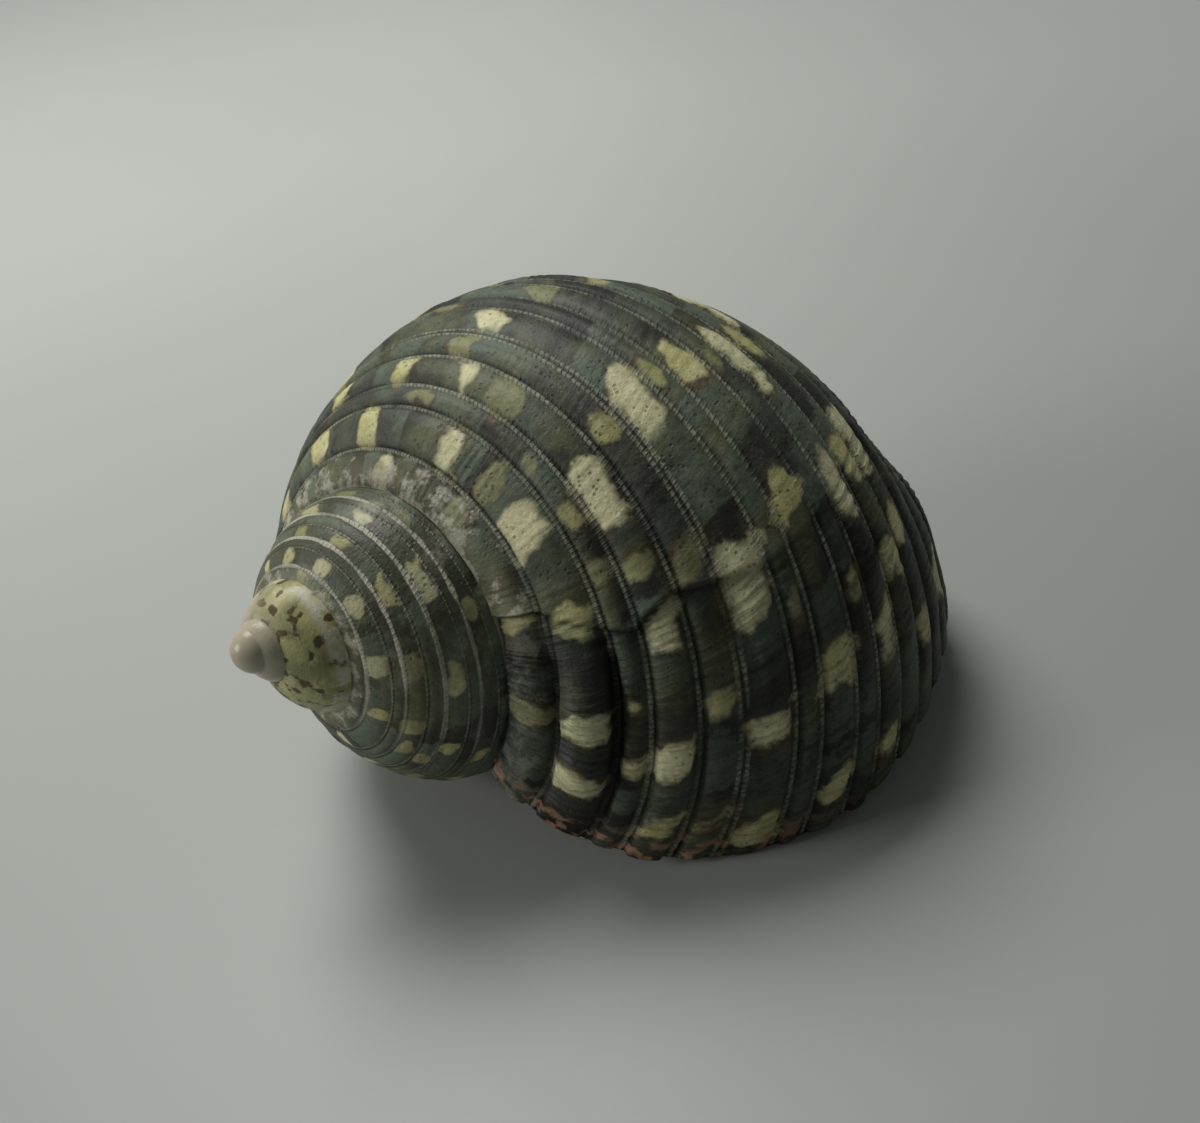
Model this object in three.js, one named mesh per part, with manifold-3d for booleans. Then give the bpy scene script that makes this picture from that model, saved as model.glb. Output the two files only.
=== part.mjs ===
// A turban shell, the shell of a marine snail, lying on its mouth with the spire to one side.
// Units are millimetres and degrees, +Z up. The origin is on the resting surface, under the middle
// of the shell.
import * as THREE from 'three';
import { mergeVertices } from 'three/addons/utils/BufferGeometryUtils.js';
import Module from 'manifold-3d';

// ---------------------------------------------------------------- driving dimensions

// The shell's size and how it coils.
const SHELL_HEIGHT = 72; // tip of the spire to the lowest point of the base, along the coiling axis
const WHORL_EXPANSION = 2.4; // how many times further down the axis each turn lies than the last
const WHORL_WIDENING = 2.54; // how many times wider the newest turn is than the one before
const EARLY_BREADTH = 0.029; // how much broader the early turns are, which blunts the spire
const LIP_LEAN = 72; // how far the lip's base end lies behind its suture end, round the axis
const LIP_CURL = 20; // how much the lip bends back towards the base
const OLDEST_ANGLE = -1500; // where the coil starts, counted back from the lip

// The outline of one whorl, from the suture over the widest point to the base. Radius and drop below
// the tip of the spire are shares of the whorl's widest radius at that angle. Each half is a quarter
// of a rounded square: a power of 2 is an ellipse, and a lower power is flatter.
const SUTURE_RADIUS = 0.4;
const SUTURE_DROP = 0.46;
const WIDEST_DROP = 1.15;
const BASE_RADIUS = 0.16;
const BASE_DROP = 2.02;
const SHOULDER_POWER = 1.62;
const BASE_POWER = 2;

// The wall of the hollow tube inside a whorl, and the tube's inner side, where it passes the pillar
// and the whorl before, as radius and drop in the same shares.
const WALL_SHARE = 0.062;
const WALL_FROM = 0.09; // the wall runs between these shares of the outline
const WALL_TO = 0.93;
const WALL_POINTS = 11;
const HOLLOW_INNER_SIDE = [
  [0.22, 1.86], [0.16, 1.68], [0.13, 1.33], [0.15, 1.02], [0.26, 0.92], [0.46, 0.68],
];

// The spiral cords that rib the outside, as shares of the outline from suture to base. The rest of
// the base carries equal cords.
const SHOULDER_CORDS = [0.060, 0.062, 0.034, 0.049, 0.045, 0.055, 0.030, 0.044, 0.032, 0.041];
const BASE_CORDS = 12;
const CORD_RELIEF = 0.007; // height of a crest over the outline, and depth of a groove under it

// How finely the coil is stepped, in degrees.
const BODY_STEP = 12;
const SPIRE_STEP = 12;
const HOLLOW_STEP = 15;
const FULL_TURN = 360;
const FINE_SEGMENTS = 2; // how many segments, counted back from the lip, take the body's step
const SEGMENT_ANGLE = 180; // the coil is lofted in pieces of this length, then joined
const RIBBED_ANGLE = -720; // cords are modelled from here to the lip
const OUTLINE_DIVISIONS = 400; // steps in which the outline's length is measured
const SMOOTH_POINTS = 10; // points on the outline of the oldest, smooth whorls
const HOLLOW_DEPTH = 420; // how far the hollow runs back from the lip
const MOUTH_OVERRUN = 12; // how far the hollow's cutter runs out past the lip

// The pillar that the whorls coil round.
const CORE_SHARE = 0.01; // inner edge of the lofted section
const PILLAR_SLOPE = 0.06; // radius of the pillar for each millimetre of its length
const PILLAR_START = 1; // how far below the tip it starts
const PILLAR_END = 0.75; // share of the shell's height that it reaches
const PILLAR_SIDES = 16;
const INNER_LIP_START = 0.8; // where on the pillar the inner lip starts
const INNER_LIP_RADIUS = 4.2;
const INNER_LIP_END_RADIUS = 2.6;

// How the shell lies: turned about its own axis, leant over, then headed.
const REST_SPIN = 46.2;
const REST_LEAN = 70;
const REST_HEADING = -142.6;

// ---------------------------------------------------------------- the coil

// The outline as a curve: its first half is the shoulder and its second half the base.
class WhorlOutline extends THREE.Curve {
  getPoint(t, target = new THREE.Vector2()) {
    const onShoulder = t <= 0.5;
    const turn = (onShoulder ? t : t - 0.5) * Math.PI;
    const power = 2 / (onShoulder ? SHOULDER_POWER : BASE_POWER);
    const [lean, rise] = [Math.sin(turn) ** power, Math.max(Math.cos(turn), 0) ** power];
    if (onShoulder) {
      return target.set(
        SUTURE_RADIUS + (1 - SUTURE_RADIUS) * lean,
        WIDEST_DROP - (WIDEST_DROP - SUTURE_DROP) * rise,
      );
    }
    return target.set(
      BASE_RADIUS + (1 - BASE_RADIUS) * rise,
      WIDEST_DROP + (BASE_DROP - WIDEST_DROP) * lean,
    );
  }
}
const outline = new WhorlOutline();
outline.arcLengthDivisions = OUTLINE_DIVISIONS;

// How far round the axis the lip lies behind its suture end, at a drop below the tip.
function lipSetback(drop) {
  const share = (drop - SUTURE_DROP) / (BASE_DROP - SUTURE_DROP);
  return LIP_LEAN * share - LIP_CURL * share * share;
}

// Growth of a whorl's drop and of its radius at an angle, as shares of their values at the lip.
const dropGrowth = (angle) => WHORL_EXPANSION ** (angle / FULL_TURN);
function radiusGrowth(angle) {
  const turns = angle / FULL_TURN;
  return WHORL_WIDENING ** turns * Math.exp(EARLY_BREADTH * turns ** 2);
}

// Widest radius of the last whorl, chosen so that the base reaches the shell's full height.
function lipRadius() {
  const reach = outline.getPoints(OUTLINE_DIVISIONS).map((p) => p.y * dropGrowth(-lipSetback(p.y)));
  return SHELL_HEIGHT / Math.max(...reach);
}
const LIP_RADIUS = lipRadius();

// A point of the coil, from a section point that holds its radius, its drop and its setback. The
// coil grows clockwise as seen from the tip, which makes the shell right-handed.
function coilPoint(angle, point) {
  const at = angle - point.z;
  const turn = THREE.MathUtils.degToRad(-at);
  const radius = LIP_RADIUS * radiusGrowth(at) * point.x;
  const drop = LIP_RADIUS * dropGrowth(at) * point.y;
  return new THREE.Vector3(radius * Math.cos(turn), radius * Math.sin(turn), -drop);
}

// ---------------------------------------------------------------- sections

// Where along the outline each groove lies, from 0 at the suture to 1 at the base.
function groovePlaces() {
  const places = [0];
  for (const width of SHOULDER_CORDS) places.push(places.at(-1) + width);
  const baseStart = places.at(-1);
  for (let i = 1; i <= BASE_CORDS; i++) places.push(baseStart + ((1 - baseStart) * i) / BASE_CORDS);
  return places;
}

// A section point with the setback that its drop gives it.
const sectionPoint = (x, y) => new THREE.Vector3(x, y, lipSetback(y));

// A point of the outline moved outward by a share of the widest radius.
function raisedPoint(place, rise) {
  const point = outline.getPointAt(Math.min(place, 1));
  const along = outline.getTangentAt(Math.min(place, 1));
  return new THREE.Vector3(point.x + rise * along.y, point.y - rise * along.x, lipSetback(point.y));
}

// The outline with a crest in the middle of each cord and a groove between cords.
function ribbedOutline() {
  const places = groovePlaces();
  const points = [raisedPoint(0, 0)];
  for (let i = 1; i < places.length; i++) {
    points.push(raisedPoint((places[i - 1] + places[i]) / 2, CORD_RELIEF));
    points.push(raisedPoint(places[i], i === places.length - 1 ? 0 : -CORD_RELIEF));
  }
  return points;
}

// A whorl's filled section: an outline, closed along the axis.
function filledSection(outer) {
  const top = outer[0].y;
  const bottom = outer.at(-1).y;
  const inner = [bottom, (top + bottom) / 2, top].map((drop) => sectionPoint(CORE_SHARE, drop));
  return [...outer, ...inner];
}

// ---------------------------------------------------------------- lofts and solids

// A closed solid through copies of one section, from one angle to another.
function loft(section, from, to, step) {
  const count = Math.max(1, Math.round((to - from) / step));
  const positions = [];
  for (let i = 0; i <= count; i++) {
    const angle = from + ((to - from) * i) / count;
    for (const share of section) positions.push(...coilPoint(angle, share).toArray());
  }
  const size = section.length;
  const index = [];
  for (let i = 0; i < count; i++) {
    for (let j = 0; j < size; j++) {
      const next = (j + 1) % size;
      const [a, b, c, d] = [i * size + j, i * size + next, (i + 1) * size + j, (i + 1) * size + next];
      index.push(a, c, b, b, c, d);
    }
  }
  const last = count * size;
  for (const [a, b, c] of THREE.ShapeUtils.triangulateShape(section, [])) {
    index.push(a, b, c);
    index.push(last + a, last + c, last + b);
  }
  const geometry = new THREE.BufferGeometry();
  geometry.setAttribute('position', new THREE.Float32BufferAttribute(positions, 3));
  geometry.setIndex(index);
  return geometry;
}

const MERGE_DISTANCE = 1e-4;
const wasm = await Module();
wasm.setup();

// A closed geometry as a solid for joining and cutting, turned to face out.
function solidOf(geometry) {
  const bare = geometry.clone();
  bare.deleteAttribute('normal');
  bare.deleteAttribute('uv');
  const merged = mergeVertices(bare, MERGE_DISTANCE);
  const triVerts = new Uint32Array(merged.index.array);
  const make = () => new wasm.Manifold(
    new wasm.Mesh({ numProp: 3, vertProperties: merged.attributes.position.array, triVerts }),
  );
  const solid = make();
  if (solid.volume() > 0) return solid;
  triVerts.reverse();
  return make();
}

// The largest piece of a solid, without the specks that are left where whorls only just touch.
function largestOf(solid) {
  return solid.decompose().reduce((best, piece) => (piece.volume() > best.volume() ? piece : best));
}

// A solid as a geometry with flat-shaded faces.
function geometryOf(solid) {
  const mesh = solid.getMesh();
  const geometry = new THREE.BufferGeometry();
  geometry.setAttribute('position', new THREE.BufferAttribute(mesh.vertProperties, 3));
  geometry.setIndex(new THREE.BufferAttribute(mesh.triVerts, 1));
  geometry.computeVertexNormals();
  return geometry;
}

// Every whorl from the tip to the lip, solid inside.
function coiledBody() {
  const ribbed = filledSection(ribbedOutline());
  const smooth = filledSection(outline.getSpacedPoints(SMOOTH_POINTS).map((p) => sectionPoint(p.x, p.y)));
  let body = null;
  for (let from = -SEGMENT_ANGLE; from + SEGMENT_ANGLE > OLDEST_ANGLE; from -= SEGMENT_ANGLE) {
    const section = from >= RIBBED_ANGLE ? ribbed : smooth;
    const step = from >= -FINE_SEGMENTS * SEGMENT_ANGLE ? BODY_STEP : SPIRE_STEP;
    const piece = solidOf(loft(section, Math.max(from, OLDEST_ANGLE), from + SEGMENT_ANGLE, step));
    body = body ? body.add(piece) : piece;
  }
  return body;
}

// The pillar on the axis inside the spire and the body, a cone that widens from near the tip.
function pillar() {
  const length = SHELL_HEIGHT * PILLAR_END;
  const cone = new THREE.ConeGeometry(PILLAR_SLOPE * length, length, PILLAR_SIDES);
  cone.rotateX(Math.PI / 2);
  cone.translate(0, 0, -length / 2 - PILLAR_START);
  return solidOf(cone);
}

// A ball at a point.
function ball(centre, radius) {
  const sphere = new THREE.SphereGeometry(radius, PILLAR_SIDES, PILLAR_SIDES / 2);
  sphere.translate(centre.x, centre.y, centre.z);
  return solidOf(sphere);
}

// The inner lip: a rounded bar from the pillar down to the base end of the lip.
function innerLip() {
  const start = new THREE.Vector3(0, 0, -SHELL_HEIGHT * PILLAR_END * INNER_LIP_START);
  const endDrop = BASE_DROP - INNER_LIP_END_RADIUS / LIP_RADIUS;
  const end = coilPoint(0, sectionPoint(BASE_RADIUS / 2, endDrop));
  return ball(start, INNER_LIP_RADIUS).add(ball(end, INNER_LIP_END_RADIUS)).hull();
}

// The hollow tube, from inside the shell out through the mouth.
function hollow() {
  const section = [];
  for (let i = 0; i < WALL_POINTS; i++) {
    const place = WALL_FROM + ((WALL_TO - WALL_FROM) * i) / (WALL_POINTS - 1);
    const { x, y } = raisedPoint(place, -WALL_SHARE);
    section.push(sectionPoint(x, y));
  }
  section.push(...HOLLOW_INNER_SIDE.map(([x, y]) => sectionPoint(x, y)));
  return solidOf(loft(section, -HOLLOW_DEPTH, MOUTH_OVERRUN, HOLLOW_STEP));
}

// ---------------------------------------------------------------- the resting shell

// Turns a geometry from the coiling axis to the way the shell lies, and sets it on the surface.
function layOnMouth(geometry) {
  geometry.rotateZ(THREE.MathUtils.degToRad(REST_SPIN));
  geometry.rotateY(THREE.MathUtils.degToRad(REST_LEAN));
  geometry.rotateZ(THREE.MathUtils.degToRad(REST_HEADING));
  geometry.computeBoundingBox();
  const { min, max } = geometry.boundingBox;
  geometry.translate(-(min.x + max.x) / 2, -(min.y + max.y) / 2, -min.z);
  return geometry;
}

const shellMaterial = new THREE.MeshStandardMaterial({
  name: 'shell_outside', color: 0x4f5a50, roughness: 0.45, metalness: 0,
});

const solid = largestOf(coiledBody().add(pillar()).add(innerLip()).subtract(hollow()));
const shell = new THREE.Mesh(layOnMouth(geometryOf(solid)), shellMaterial);
shell.name = 'shell';

const turbanShell = new THREE.Group();
turbanShell.add(shell);
export default turbanShell;
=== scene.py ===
"""A turban shell lying on its mouth: the ribbed and dabbed outside, the broken lip and the lining.

The shell is one grown piece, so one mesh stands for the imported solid. The mesh is a coil: every
point is placed by how far round the coil it lies (an angle counted back from the lip) and by where
it sits on the outline of the whorl (a share from the suture to the base).
"""

from __future__ import annotations

import logging
import math
from dataclasses import dataclass, field
from enum import Enum
from typing import Any

import bpy
import numpy as np
from mathutils import Matrix, Vector


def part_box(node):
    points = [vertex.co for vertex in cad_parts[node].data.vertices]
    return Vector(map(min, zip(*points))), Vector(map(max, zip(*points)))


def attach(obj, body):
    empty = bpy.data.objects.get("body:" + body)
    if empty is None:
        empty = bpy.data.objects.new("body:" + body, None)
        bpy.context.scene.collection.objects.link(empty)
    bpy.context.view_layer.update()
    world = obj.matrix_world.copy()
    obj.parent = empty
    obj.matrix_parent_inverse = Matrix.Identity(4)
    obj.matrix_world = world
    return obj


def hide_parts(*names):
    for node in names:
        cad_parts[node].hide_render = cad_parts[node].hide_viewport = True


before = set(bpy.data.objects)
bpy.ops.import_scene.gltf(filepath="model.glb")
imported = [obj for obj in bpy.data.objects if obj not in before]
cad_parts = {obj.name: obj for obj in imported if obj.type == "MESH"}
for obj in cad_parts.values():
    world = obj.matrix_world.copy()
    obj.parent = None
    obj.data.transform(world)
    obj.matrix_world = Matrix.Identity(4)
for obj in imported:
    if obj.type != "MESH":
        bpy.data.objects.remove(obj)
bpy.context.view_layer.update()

LOG = logging.getLogger("turban_shell")
MM = 0.001


# ---------------------------------------------------------------- small number helpers


def smooth(values: Any, low: float, high: float) -> np.ndarray:
    """Smooth step of values from 0 at low to 1 at high."""
    share = np.clip((np.asarray(values, float) - low) / (high - low), 0.0, 1.0)
    return share * share * (3.0 - 2.0 * share)


def bell(values: Any, width: float) -> np.ndarray:
    """Bell curve of values: 1 at 0, and about a third at the width."""
    return np.exp(-(np.asarray(values, float) / width) ** 2)


def plateau(values: Any, rise: tuple[float, float], fall: tuple[float, float]) -> np.ndarray:
    """1 between a smooth rise and a smooth fall, and 0 beyond them."""
    return smooth(values, *rise) * (1.0 - smooth(values, *fall))
@dataclass(frozen=True)
class Unevenness:
    """Seeded smooth noise over a plane, from -1 to 1.

    Attributes:
        seed: what the lattice is drawn from.
        cells: how many lattice cells there are each way before the pattern repeats.
    """

    seed: int
    cells: int = 96

    def at(self, x: Any, y: Any) -> np.ndarray:
        """Noise at places given in lattice cells.

        Args:
            x: place along the first axis.
            y: place along the second axis.

        Returns:
            The noise, in the shape that x and y broadcast to.
        """
        lattice = np.random.default_rng(self.seed).uniform(-1.0, 1.0, (self.cells, self.cells))
        x, y = np.broadcast_arrays(np.asarray(x, float), np.asarray(y, float))
        column, row = np.floor(x).astype(int), np.floor(y).astype(int)
        across, up = smooth(x - column, 0.0, 1.0), smooth(y - row, 0.0, 1.0)
        left, right = column % self.cells, (column + 1) % self.cells
        below, above = row % self.cells, (row + 1) % self.cells
        low = lattice[below, left] * (1 - across) + lattice[below, right] * across
        high = lattice[above, left] * (1 - across) + lattice[above, right] * across
        return low * (1 - up) + high * up


@dataclass(frozen=True)
class Swell:
    """Smooth noise over the surface of the whorls, from -1 to 1.

    Attributes:
        seed: what it is drawn from.
        pitch: millimetres along the coil for each lattice cell.
        cells: lattice cells from the suture to the base.
        cord_shift: lattice cells by which a cord differs from the one before it.
    """

    seed: int
    pitch: float
    cells: float = 0.0
    cord_shift: float = 0.0

    def over(self, grid: Grid) -> np.ndarray:
        """The noise at every vertex of a grid."""
        return Unevenness(self.seed).at(grid.along / self.pitch,
                                        grid.cord * self.cord_shift + grid.place * self.cells)
# ---------------------------------------------------------------- the coil


@dataclass(frozen=True)
class Coil:
    """How the shell coils, in millimetres and degrees, about its own axis with the tip up.

    Radius and drop below the tip are shares of the widest radius of the whorl at that angle.
    """

    height: float = 72.0
    expansion: float = 2.4
    widening: float = 2.54
    early_breadth: float = 0.029
    lip_lean: float = 72.0
    lip_curl: float = 20.0
    oldest_angle: float = -1500.0
    suture: tuple[float, float] = (0.40, 0.46)
    widest_drop: float = 1.15
    base: tuple[float, float] = (0.16, 2.02)
    shoulder_power: float = 1.62
    base_power: float = 2.0
    outline_steps: int = 400
    travel_steps: int = 4000
    travel_margin: tuple[float, float] = (100.0, 60.0)

    def outline_table(self) -> tuple[np.ndarray, np.ndarray, np.ndarray]:
        """The outline as two quarters of a rounded square.

        Returns:
            Share of the outline's length, radius and drop, finely stepped.
        """
        turn = np.linspace(0.0, math.pi / 2, self.outline_steps)
        lean, rise = np.sin(turn), np.cos(turn)
        shoulder = 2.0 / self.shoulder_power
        under = 2.0 / self.base_power
        radius = self.suture[0] + (1.0 - self.suture[0]) * lean**shoulder
        drop = self.widest_drop - (self.widest_drop - self.suture[1]) * rise**shoulder
        low_radius = self.base[0] + (1.0 - self.base[0]) * rise[1:] ** under
        low_drop = self.widest_drop + (self.base[1] - self.widest_drop) * lean[1:] ** under
        radius, drop = np.r_[radius, low_radius], np.r_[drop, low_drop]
        length = np.r_[0.0, np.cumsum(np.hypot(np.diff(radius), np.diff(drop)))]
        return length / length[-1], radius, drop

    def outline(self, place: Any) -> tuple[np.ndarray, np.ndarray, np.ndarray, np.ndarray]:
        """Points of the outline and the direction out of the shell there.

        Args:
            place: shares of the outline's length, 0 at the suture and 1 at the base.

        Returns:
            Radius, drop, outward part of the normal, downward part of the normal.
        """
        share, radius, drop = self.outline_table()
        slope_radius, slope_drop = np.gradient(radius, share), np.gradient(drop, share)
        steep = np.hypot(slope_radius, slope_drop)
        out, down = slope_drop / steep, -slope_radius / steep
        return tuple(np.interp(place, share, values) for values in (radius, drop, out, down))

    def outline_length(self) -> float:
        """Length of the outline as a share of the widest radius."""
        _, radius, drop = self.outline_table()
        return float(np.sum(np.hypot(np.diff(radius), np.diff(drop))))

    def setback(self, drop: Any) -> np.ndarray:
        """How many degrees behind its suture end the lip lies, at a drop."""
        share = (np.asarray(drop, float) - self.suture[1]) / (self.base[1] - self.suture[1])
        return self.lip_lean * share - self.lip_curl * share * share

    def radius_growth(self, angle: Any) -> np.ndarray:
        """Radius of the whorl at an angle as a share of its radius at the lip."""
        turns = np.asarray(angle, float) / 360.0
        return self.widening**turns * np.exp(self.early_breadth * turns * turns)

    def drop_growth(self, angle: Any) -> np.ndarray:
        """Drop of the whorl at an angle as a share of its drop at the lip."""
        return self.expansion ** (np.asarray(angle, float) / 360.0)

    def lip_radius(self) -> float:
        """Widest radius at the lip, chosen so that the base reaches the shell's full height."""
        _, _, drop = self.outline_table()
        return self.height / float(np.max(drop * self.drop_growth(-self.setback(drop))))

    def points(self, angle: Any, radius: Any, drop: Any, setback: Any) -> np.ndarray:
        """Places on the coil.

        Args:
            angle: angle counted back from the lip.
            radius: radius as a share of the widest radius.
            drop: drop below the tip as a share of the widest radius.
            setback: how far behind the angle the point lies.

        Returns:
            An array of points whose last axis is x, y, z.
        """
        at = np.asarray(angle, float) - setback
        turn = np.radians(-at)
        size = self.lip_radius()
        reach = size * self.radius_growth(at) * radius
        depth = size * self.drop_growth(at) * drop
        return np.stack([reach * np.cos(turn), reach * np.sin(turn), -depth], axis=-1)

    def travelled(self, angle: Any) -> np.ndarray:
        """Millimetres along the widest part of the coil, from the lip back to an angle.

        Args:
            angle: angle counted back from the lip.

        Returns:
            The way along the coil, below 0 behind the lip.
        """
        before, after = self.travel_margin
        angles = np.linspace(self.oldest_angle - before, after, self.travel_steps)
        speed = self.lip_radius() * self.radius_growth(angles) * math.radians(1.0)
        steps = 0.5 * (speed[1:] + speed[:-1]) * np.diff(angles)
        length = np.r_[0.0, np.cumsum(steps)]
        return np.interp(angle, angles, length - np.interp(0.0, angles, length))


# ---------------------------------------------------------------- cords and colour dabs


@dataclass(frozen=True)
class Cords:
    """The spiral cords between the suture and the base, with a thin rib in each groove.

    Widths are shares of the outline. Places across a groove are millimetres on the last whorl.
    """

    shoulder: tuple[float, ...] = (0.060, 0.062, 0.034, 0.049, 0.045, 0.055, 0.030, 0.044, 0.032, 0.041)
    base_count: int = 12
    double_groove: int = 5
    groove_floor: float = 0.38
    crest_edge: float = 0.80
    crest_steps: int = 4

    def edges(self) -> np.ndarray:
        """Where the grooves lie, as shares of the outline."""
        edges = np.r_[0.0, np.cumsum(self.shoulder)]
        base = np.linspace(edges[-1], 1.0, self.base_count + 1)[1:]
        return np.r_[edges, base]

    def columns(self, outline_mm: float) -> tuple[np.ndarray, np.ndarray, np.ndarray]:
        """Where the mesh has its columns.

        Args:
            outline_mm: length of the outline on the last whorl.

        Returns:
            Place of each column, the cord that it is on, and its distance to the nearest groove.
        """
        edges = self.edges()
        floor, edge = self.groove_floor / outline_mm, self.crest_edge / outline_mm
        places: list[float] = []
        cords: list[int] = []
        for cord, (start, end) in enumerate(zip(edges[:-1], edges[1:])):
            crest = np.linspace(start + edge, end - edge, self.crest_steps)
            stops = [start, start + floor, *crest, end - floor]
            places += stops
            cords += [cord] * len(stops)
        places.append(1.0)
        cords.append(len(edges) - 2)
        spots = np.array(places)
        to_groove = np.min(np.abs(spots[:, None] - edges[None, :]), axis=1) * outline_mm
        return spots, np.array(cords), to_groove


class Tone(Enum):
    """Colours that a dab can have, as its place between cream and olive."""

    CREAM = 0.0
    YELLOW = 0.35
    OLIVE = 0.75
    MURKY = 1.0


@dataclass(frozen=True)
class Dab:
    """One pale dab on a cord.

    Attributes:
        cord: number of the cord, counted from the suture.
        angle: where its middle lies.
        length: its length in degrees.
        tone: its colour.
    """

    cord: int
    angle: float
    length: float = 9.0
    tone: Tone = Tone.CREAM


@dataclass(frozen=True)
class DabPattern:
    """Where the pale dabs lie: placed one by one on the side that shows, scattered elsewhere.

    Places and lengths along a cord are degrees; the wobble of a dab's sides is in millimetres.
    """

    seed: int = 7
    row_step: float = 31.0
    row_shift: float = 12.0
    newest_row: float = -8.0
    placed_from: float = -150.0
    placed_cords: int = 12
    spire_placed: tuple[float, float] = (-515.0, -360.0)
    plain_before: float = -640.0
    strong_chance: float = 0.85
    weak_chance: float = 0.4
    strong_tones: float = 2.4
    weak_tones: float = 1.99
    strong_length: float = 7.0
    weak_length: float = 4.0
    length_range: float = 5.0
    corner: float = 1.7
    reach: float = 2.0
    wobble_seed: int = 31
    end_wobble: float = 1.5
    end_cells: tuple[float, float] = (45.0, 0.73)
    side_wobble: float = 0.7
    side_inset: float = 0.4
    side_cells: tuple[float, float] = (0.3, 0.41)

    def placed(self) -> list[Dab]:
        """The dabs of the side that shows.

        Returns:
            The dabs of the last whorl, then those of the spire, listed by cord.
        """
        cream, yellow, olive, murky = Tone.CREAM, Tone.YELLOW, Tone.OLIVE, Tone.MURKY
        rows: dict[int, list[tuple[float, float, Tone]]] = {
            0: [(-131, 7, cream), (-97, 6, murky), (-60, 5, yellow), (-34, 5, murky)],
            1: [(-143, 9, yellow), (-110, 10, cream), (-95, 5, murky), (-81, 12, cream), (-57, 8, yellow),
                (-33, 9, cream), (-19, 8, cream)],
            2: [(-126, 9, murky), (-91, 6, murky), (-76, 5, olive), (-66, 5, murky), (-37, 5, yellow),
                (-23, 5, yellow)],
            3: [(-134, 6, yellow), (-115, 5, cream), (-104, 9, murky), (-76, 13, cream),
                (-61, 5, olive), (-49, 9, cream), (-26, 7, cream), (-9, 6, yellow)],
            4: [(-120, 6, murky), (-83, 7, olive), (-57, 7, murky), (-32, 5, olive), (-10, 4, murky)],
            5: [(-115, 10, cream), (-82, 11, cream), (-49, 13, cream), (-25, 6, cream), (-5, 6, yellow)],
            6: [(-130, 6, murky), (-81, 6, olive), (-41, 5, murky)],
            7: [(-140, 7, yellow), (-108, 6, murky), (-78, 8, yellow), (-52, 7, yellow), (-27, 7, yellow),
                (-8, 5, yellow)],
            8: [(-120, 5, murky), (-73, 5, murky), (-35, 4, murky)],
            9: [(-132, 8, cream), (-98, 7, olive), (-70, 13, cream), (-45, 11, cream), (-23, 8, cream),
                (-8, 6, yellow)],
            10: [(-110, 6, olive), (-70, 7, olive), (-46, 8, yellow), (-30, 6, yellow)],
            11: [(-128, 8, yellow), (-79, 13, cream), (-47, 12, cream), (-31, 5, yellow), (-14, 6, yellow)],
        }
        spire: dict[int, list[tuple[float, float, Tone]]] = {
            0: [(-486, 8, yellow), (-455, 7, murky), (-420, 7, yellow)],
            1: [(-505, 12, yellow), (-472, 12, cream), (-438, 15, cream), (-403, 14, cream),
                (-372, 9, yellow)],
            3: [(-500, 12, olive), (-469, 12, olive), (-434, 16, yellow), (-399, 13, olive),
                (-368, 10, olive)],
            5: [(-500, 12, yellow), (-465, 13, cream), (-426, 17, cream), (-386, 15, yellow)],
            7: [(-480, 10, murky), (-447, 10, murky), (-405, 8, olive)],
        }
        for cord, row in spire.items():
            rows[cord] = rows[cord] + row
        return [Dab(cord, angle, length, tone) for cord, row in rows.items() for angle, length, tone in row]

    def scattered(self, cord_count: int, oldest: float) -> list[Dab]:
        """Seeded dabs in rows round the rest of the shell.

        Args:
            cord_count: how many cords there are.
            oldest: the angle where the coil starts.

        Returns:
            The dabs that lie outside the side that shows.
        """
        draw = np.random.default_rng(self.seed)
        tones = list(Tone)
        dabs: list[Dab] = []
        rows = int((self.newest_row - oldest) / self.row_step)
        for row in range(rows):
            middle = self.newest_row - row * self.row_step
            for cord in range(cord_count):
                strong = cord % 2 == 1
                shift, length, tone, chance = draw.uniform(size=4)
                angle = middle + (shift - 0.5) * self.row_shift
                on_spire = self.spire_placed[0] < angle < self.spire_placed[1]
                if angle < self.plain_before or (on_spire and cord < self.placed_cords):
                    continue
                if angle > self.placed_from and cord < self.placed_cords:
                    continue
                if chance > (self.strong_chance if strong else self.weak_chance):
                    continue
                kind = tones[int(tone * self.strong_tones) if strong else 2 + int(tone * self.weak_tones)]
                shortest = self.strong_length if strong else self.weak_length
                dabs.append(Dab(cord, angle, shortest + self.length_range * length, kind))
        return dabs

    def depth_in(self, dab: Dab, angles: np.ndarray, places: np.ndarray, sides: tuple[float, float],
                 size: float, outline: float) -> np.ndarray:
        """How deep vertices lie inside one dab, a box with rounded corners and uneven sides.

        Args:
            dab: the dab.
            angles: angles of the rows near it.
            places: places of the columns near it.
            sides: the grooves beside its cord.
            size: widest radius at the lip.
            outline: length of the outline on the last whorl.

        Returns:
            Depth in millimetres for each row and column, below 0 outside the dab.
        """
        sway = Unevenness(self.wobble_seed)
        off_middle = (angles - dab.angle)[:, None]
        ends = sway.at(places * self.end_cells[0], dab.angle * self.end_cells[1] + np.sign(off_middle))
        span = (np.abs(off_middle) - 0.5 * dab.length) * size * math.radians(1.0) + self.end_wobble * ends
        flanks = sway.at(off_middle * self.side_cells[0], dab.angle * self.side_cells[1] + dab.cord)
        off_cord = np.abs(places - 0.5 * (sides[0] + sides[1])) - 0.5 * (sides[1] - sides[0])
        width = off_cord[None, :] * outline + self.side_wobble * (self.side_inset + flanks)
        past_end, past_side = span + self.corner, width + self.corner
        outside = np.hypot(np.maximum(past_end, 0.0), np.maximum(past_side, 0.0))
        inside = np.minimum(np.maximum(past_end, past_side), 0.0)
        return self.corner - outside - inside

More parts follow.
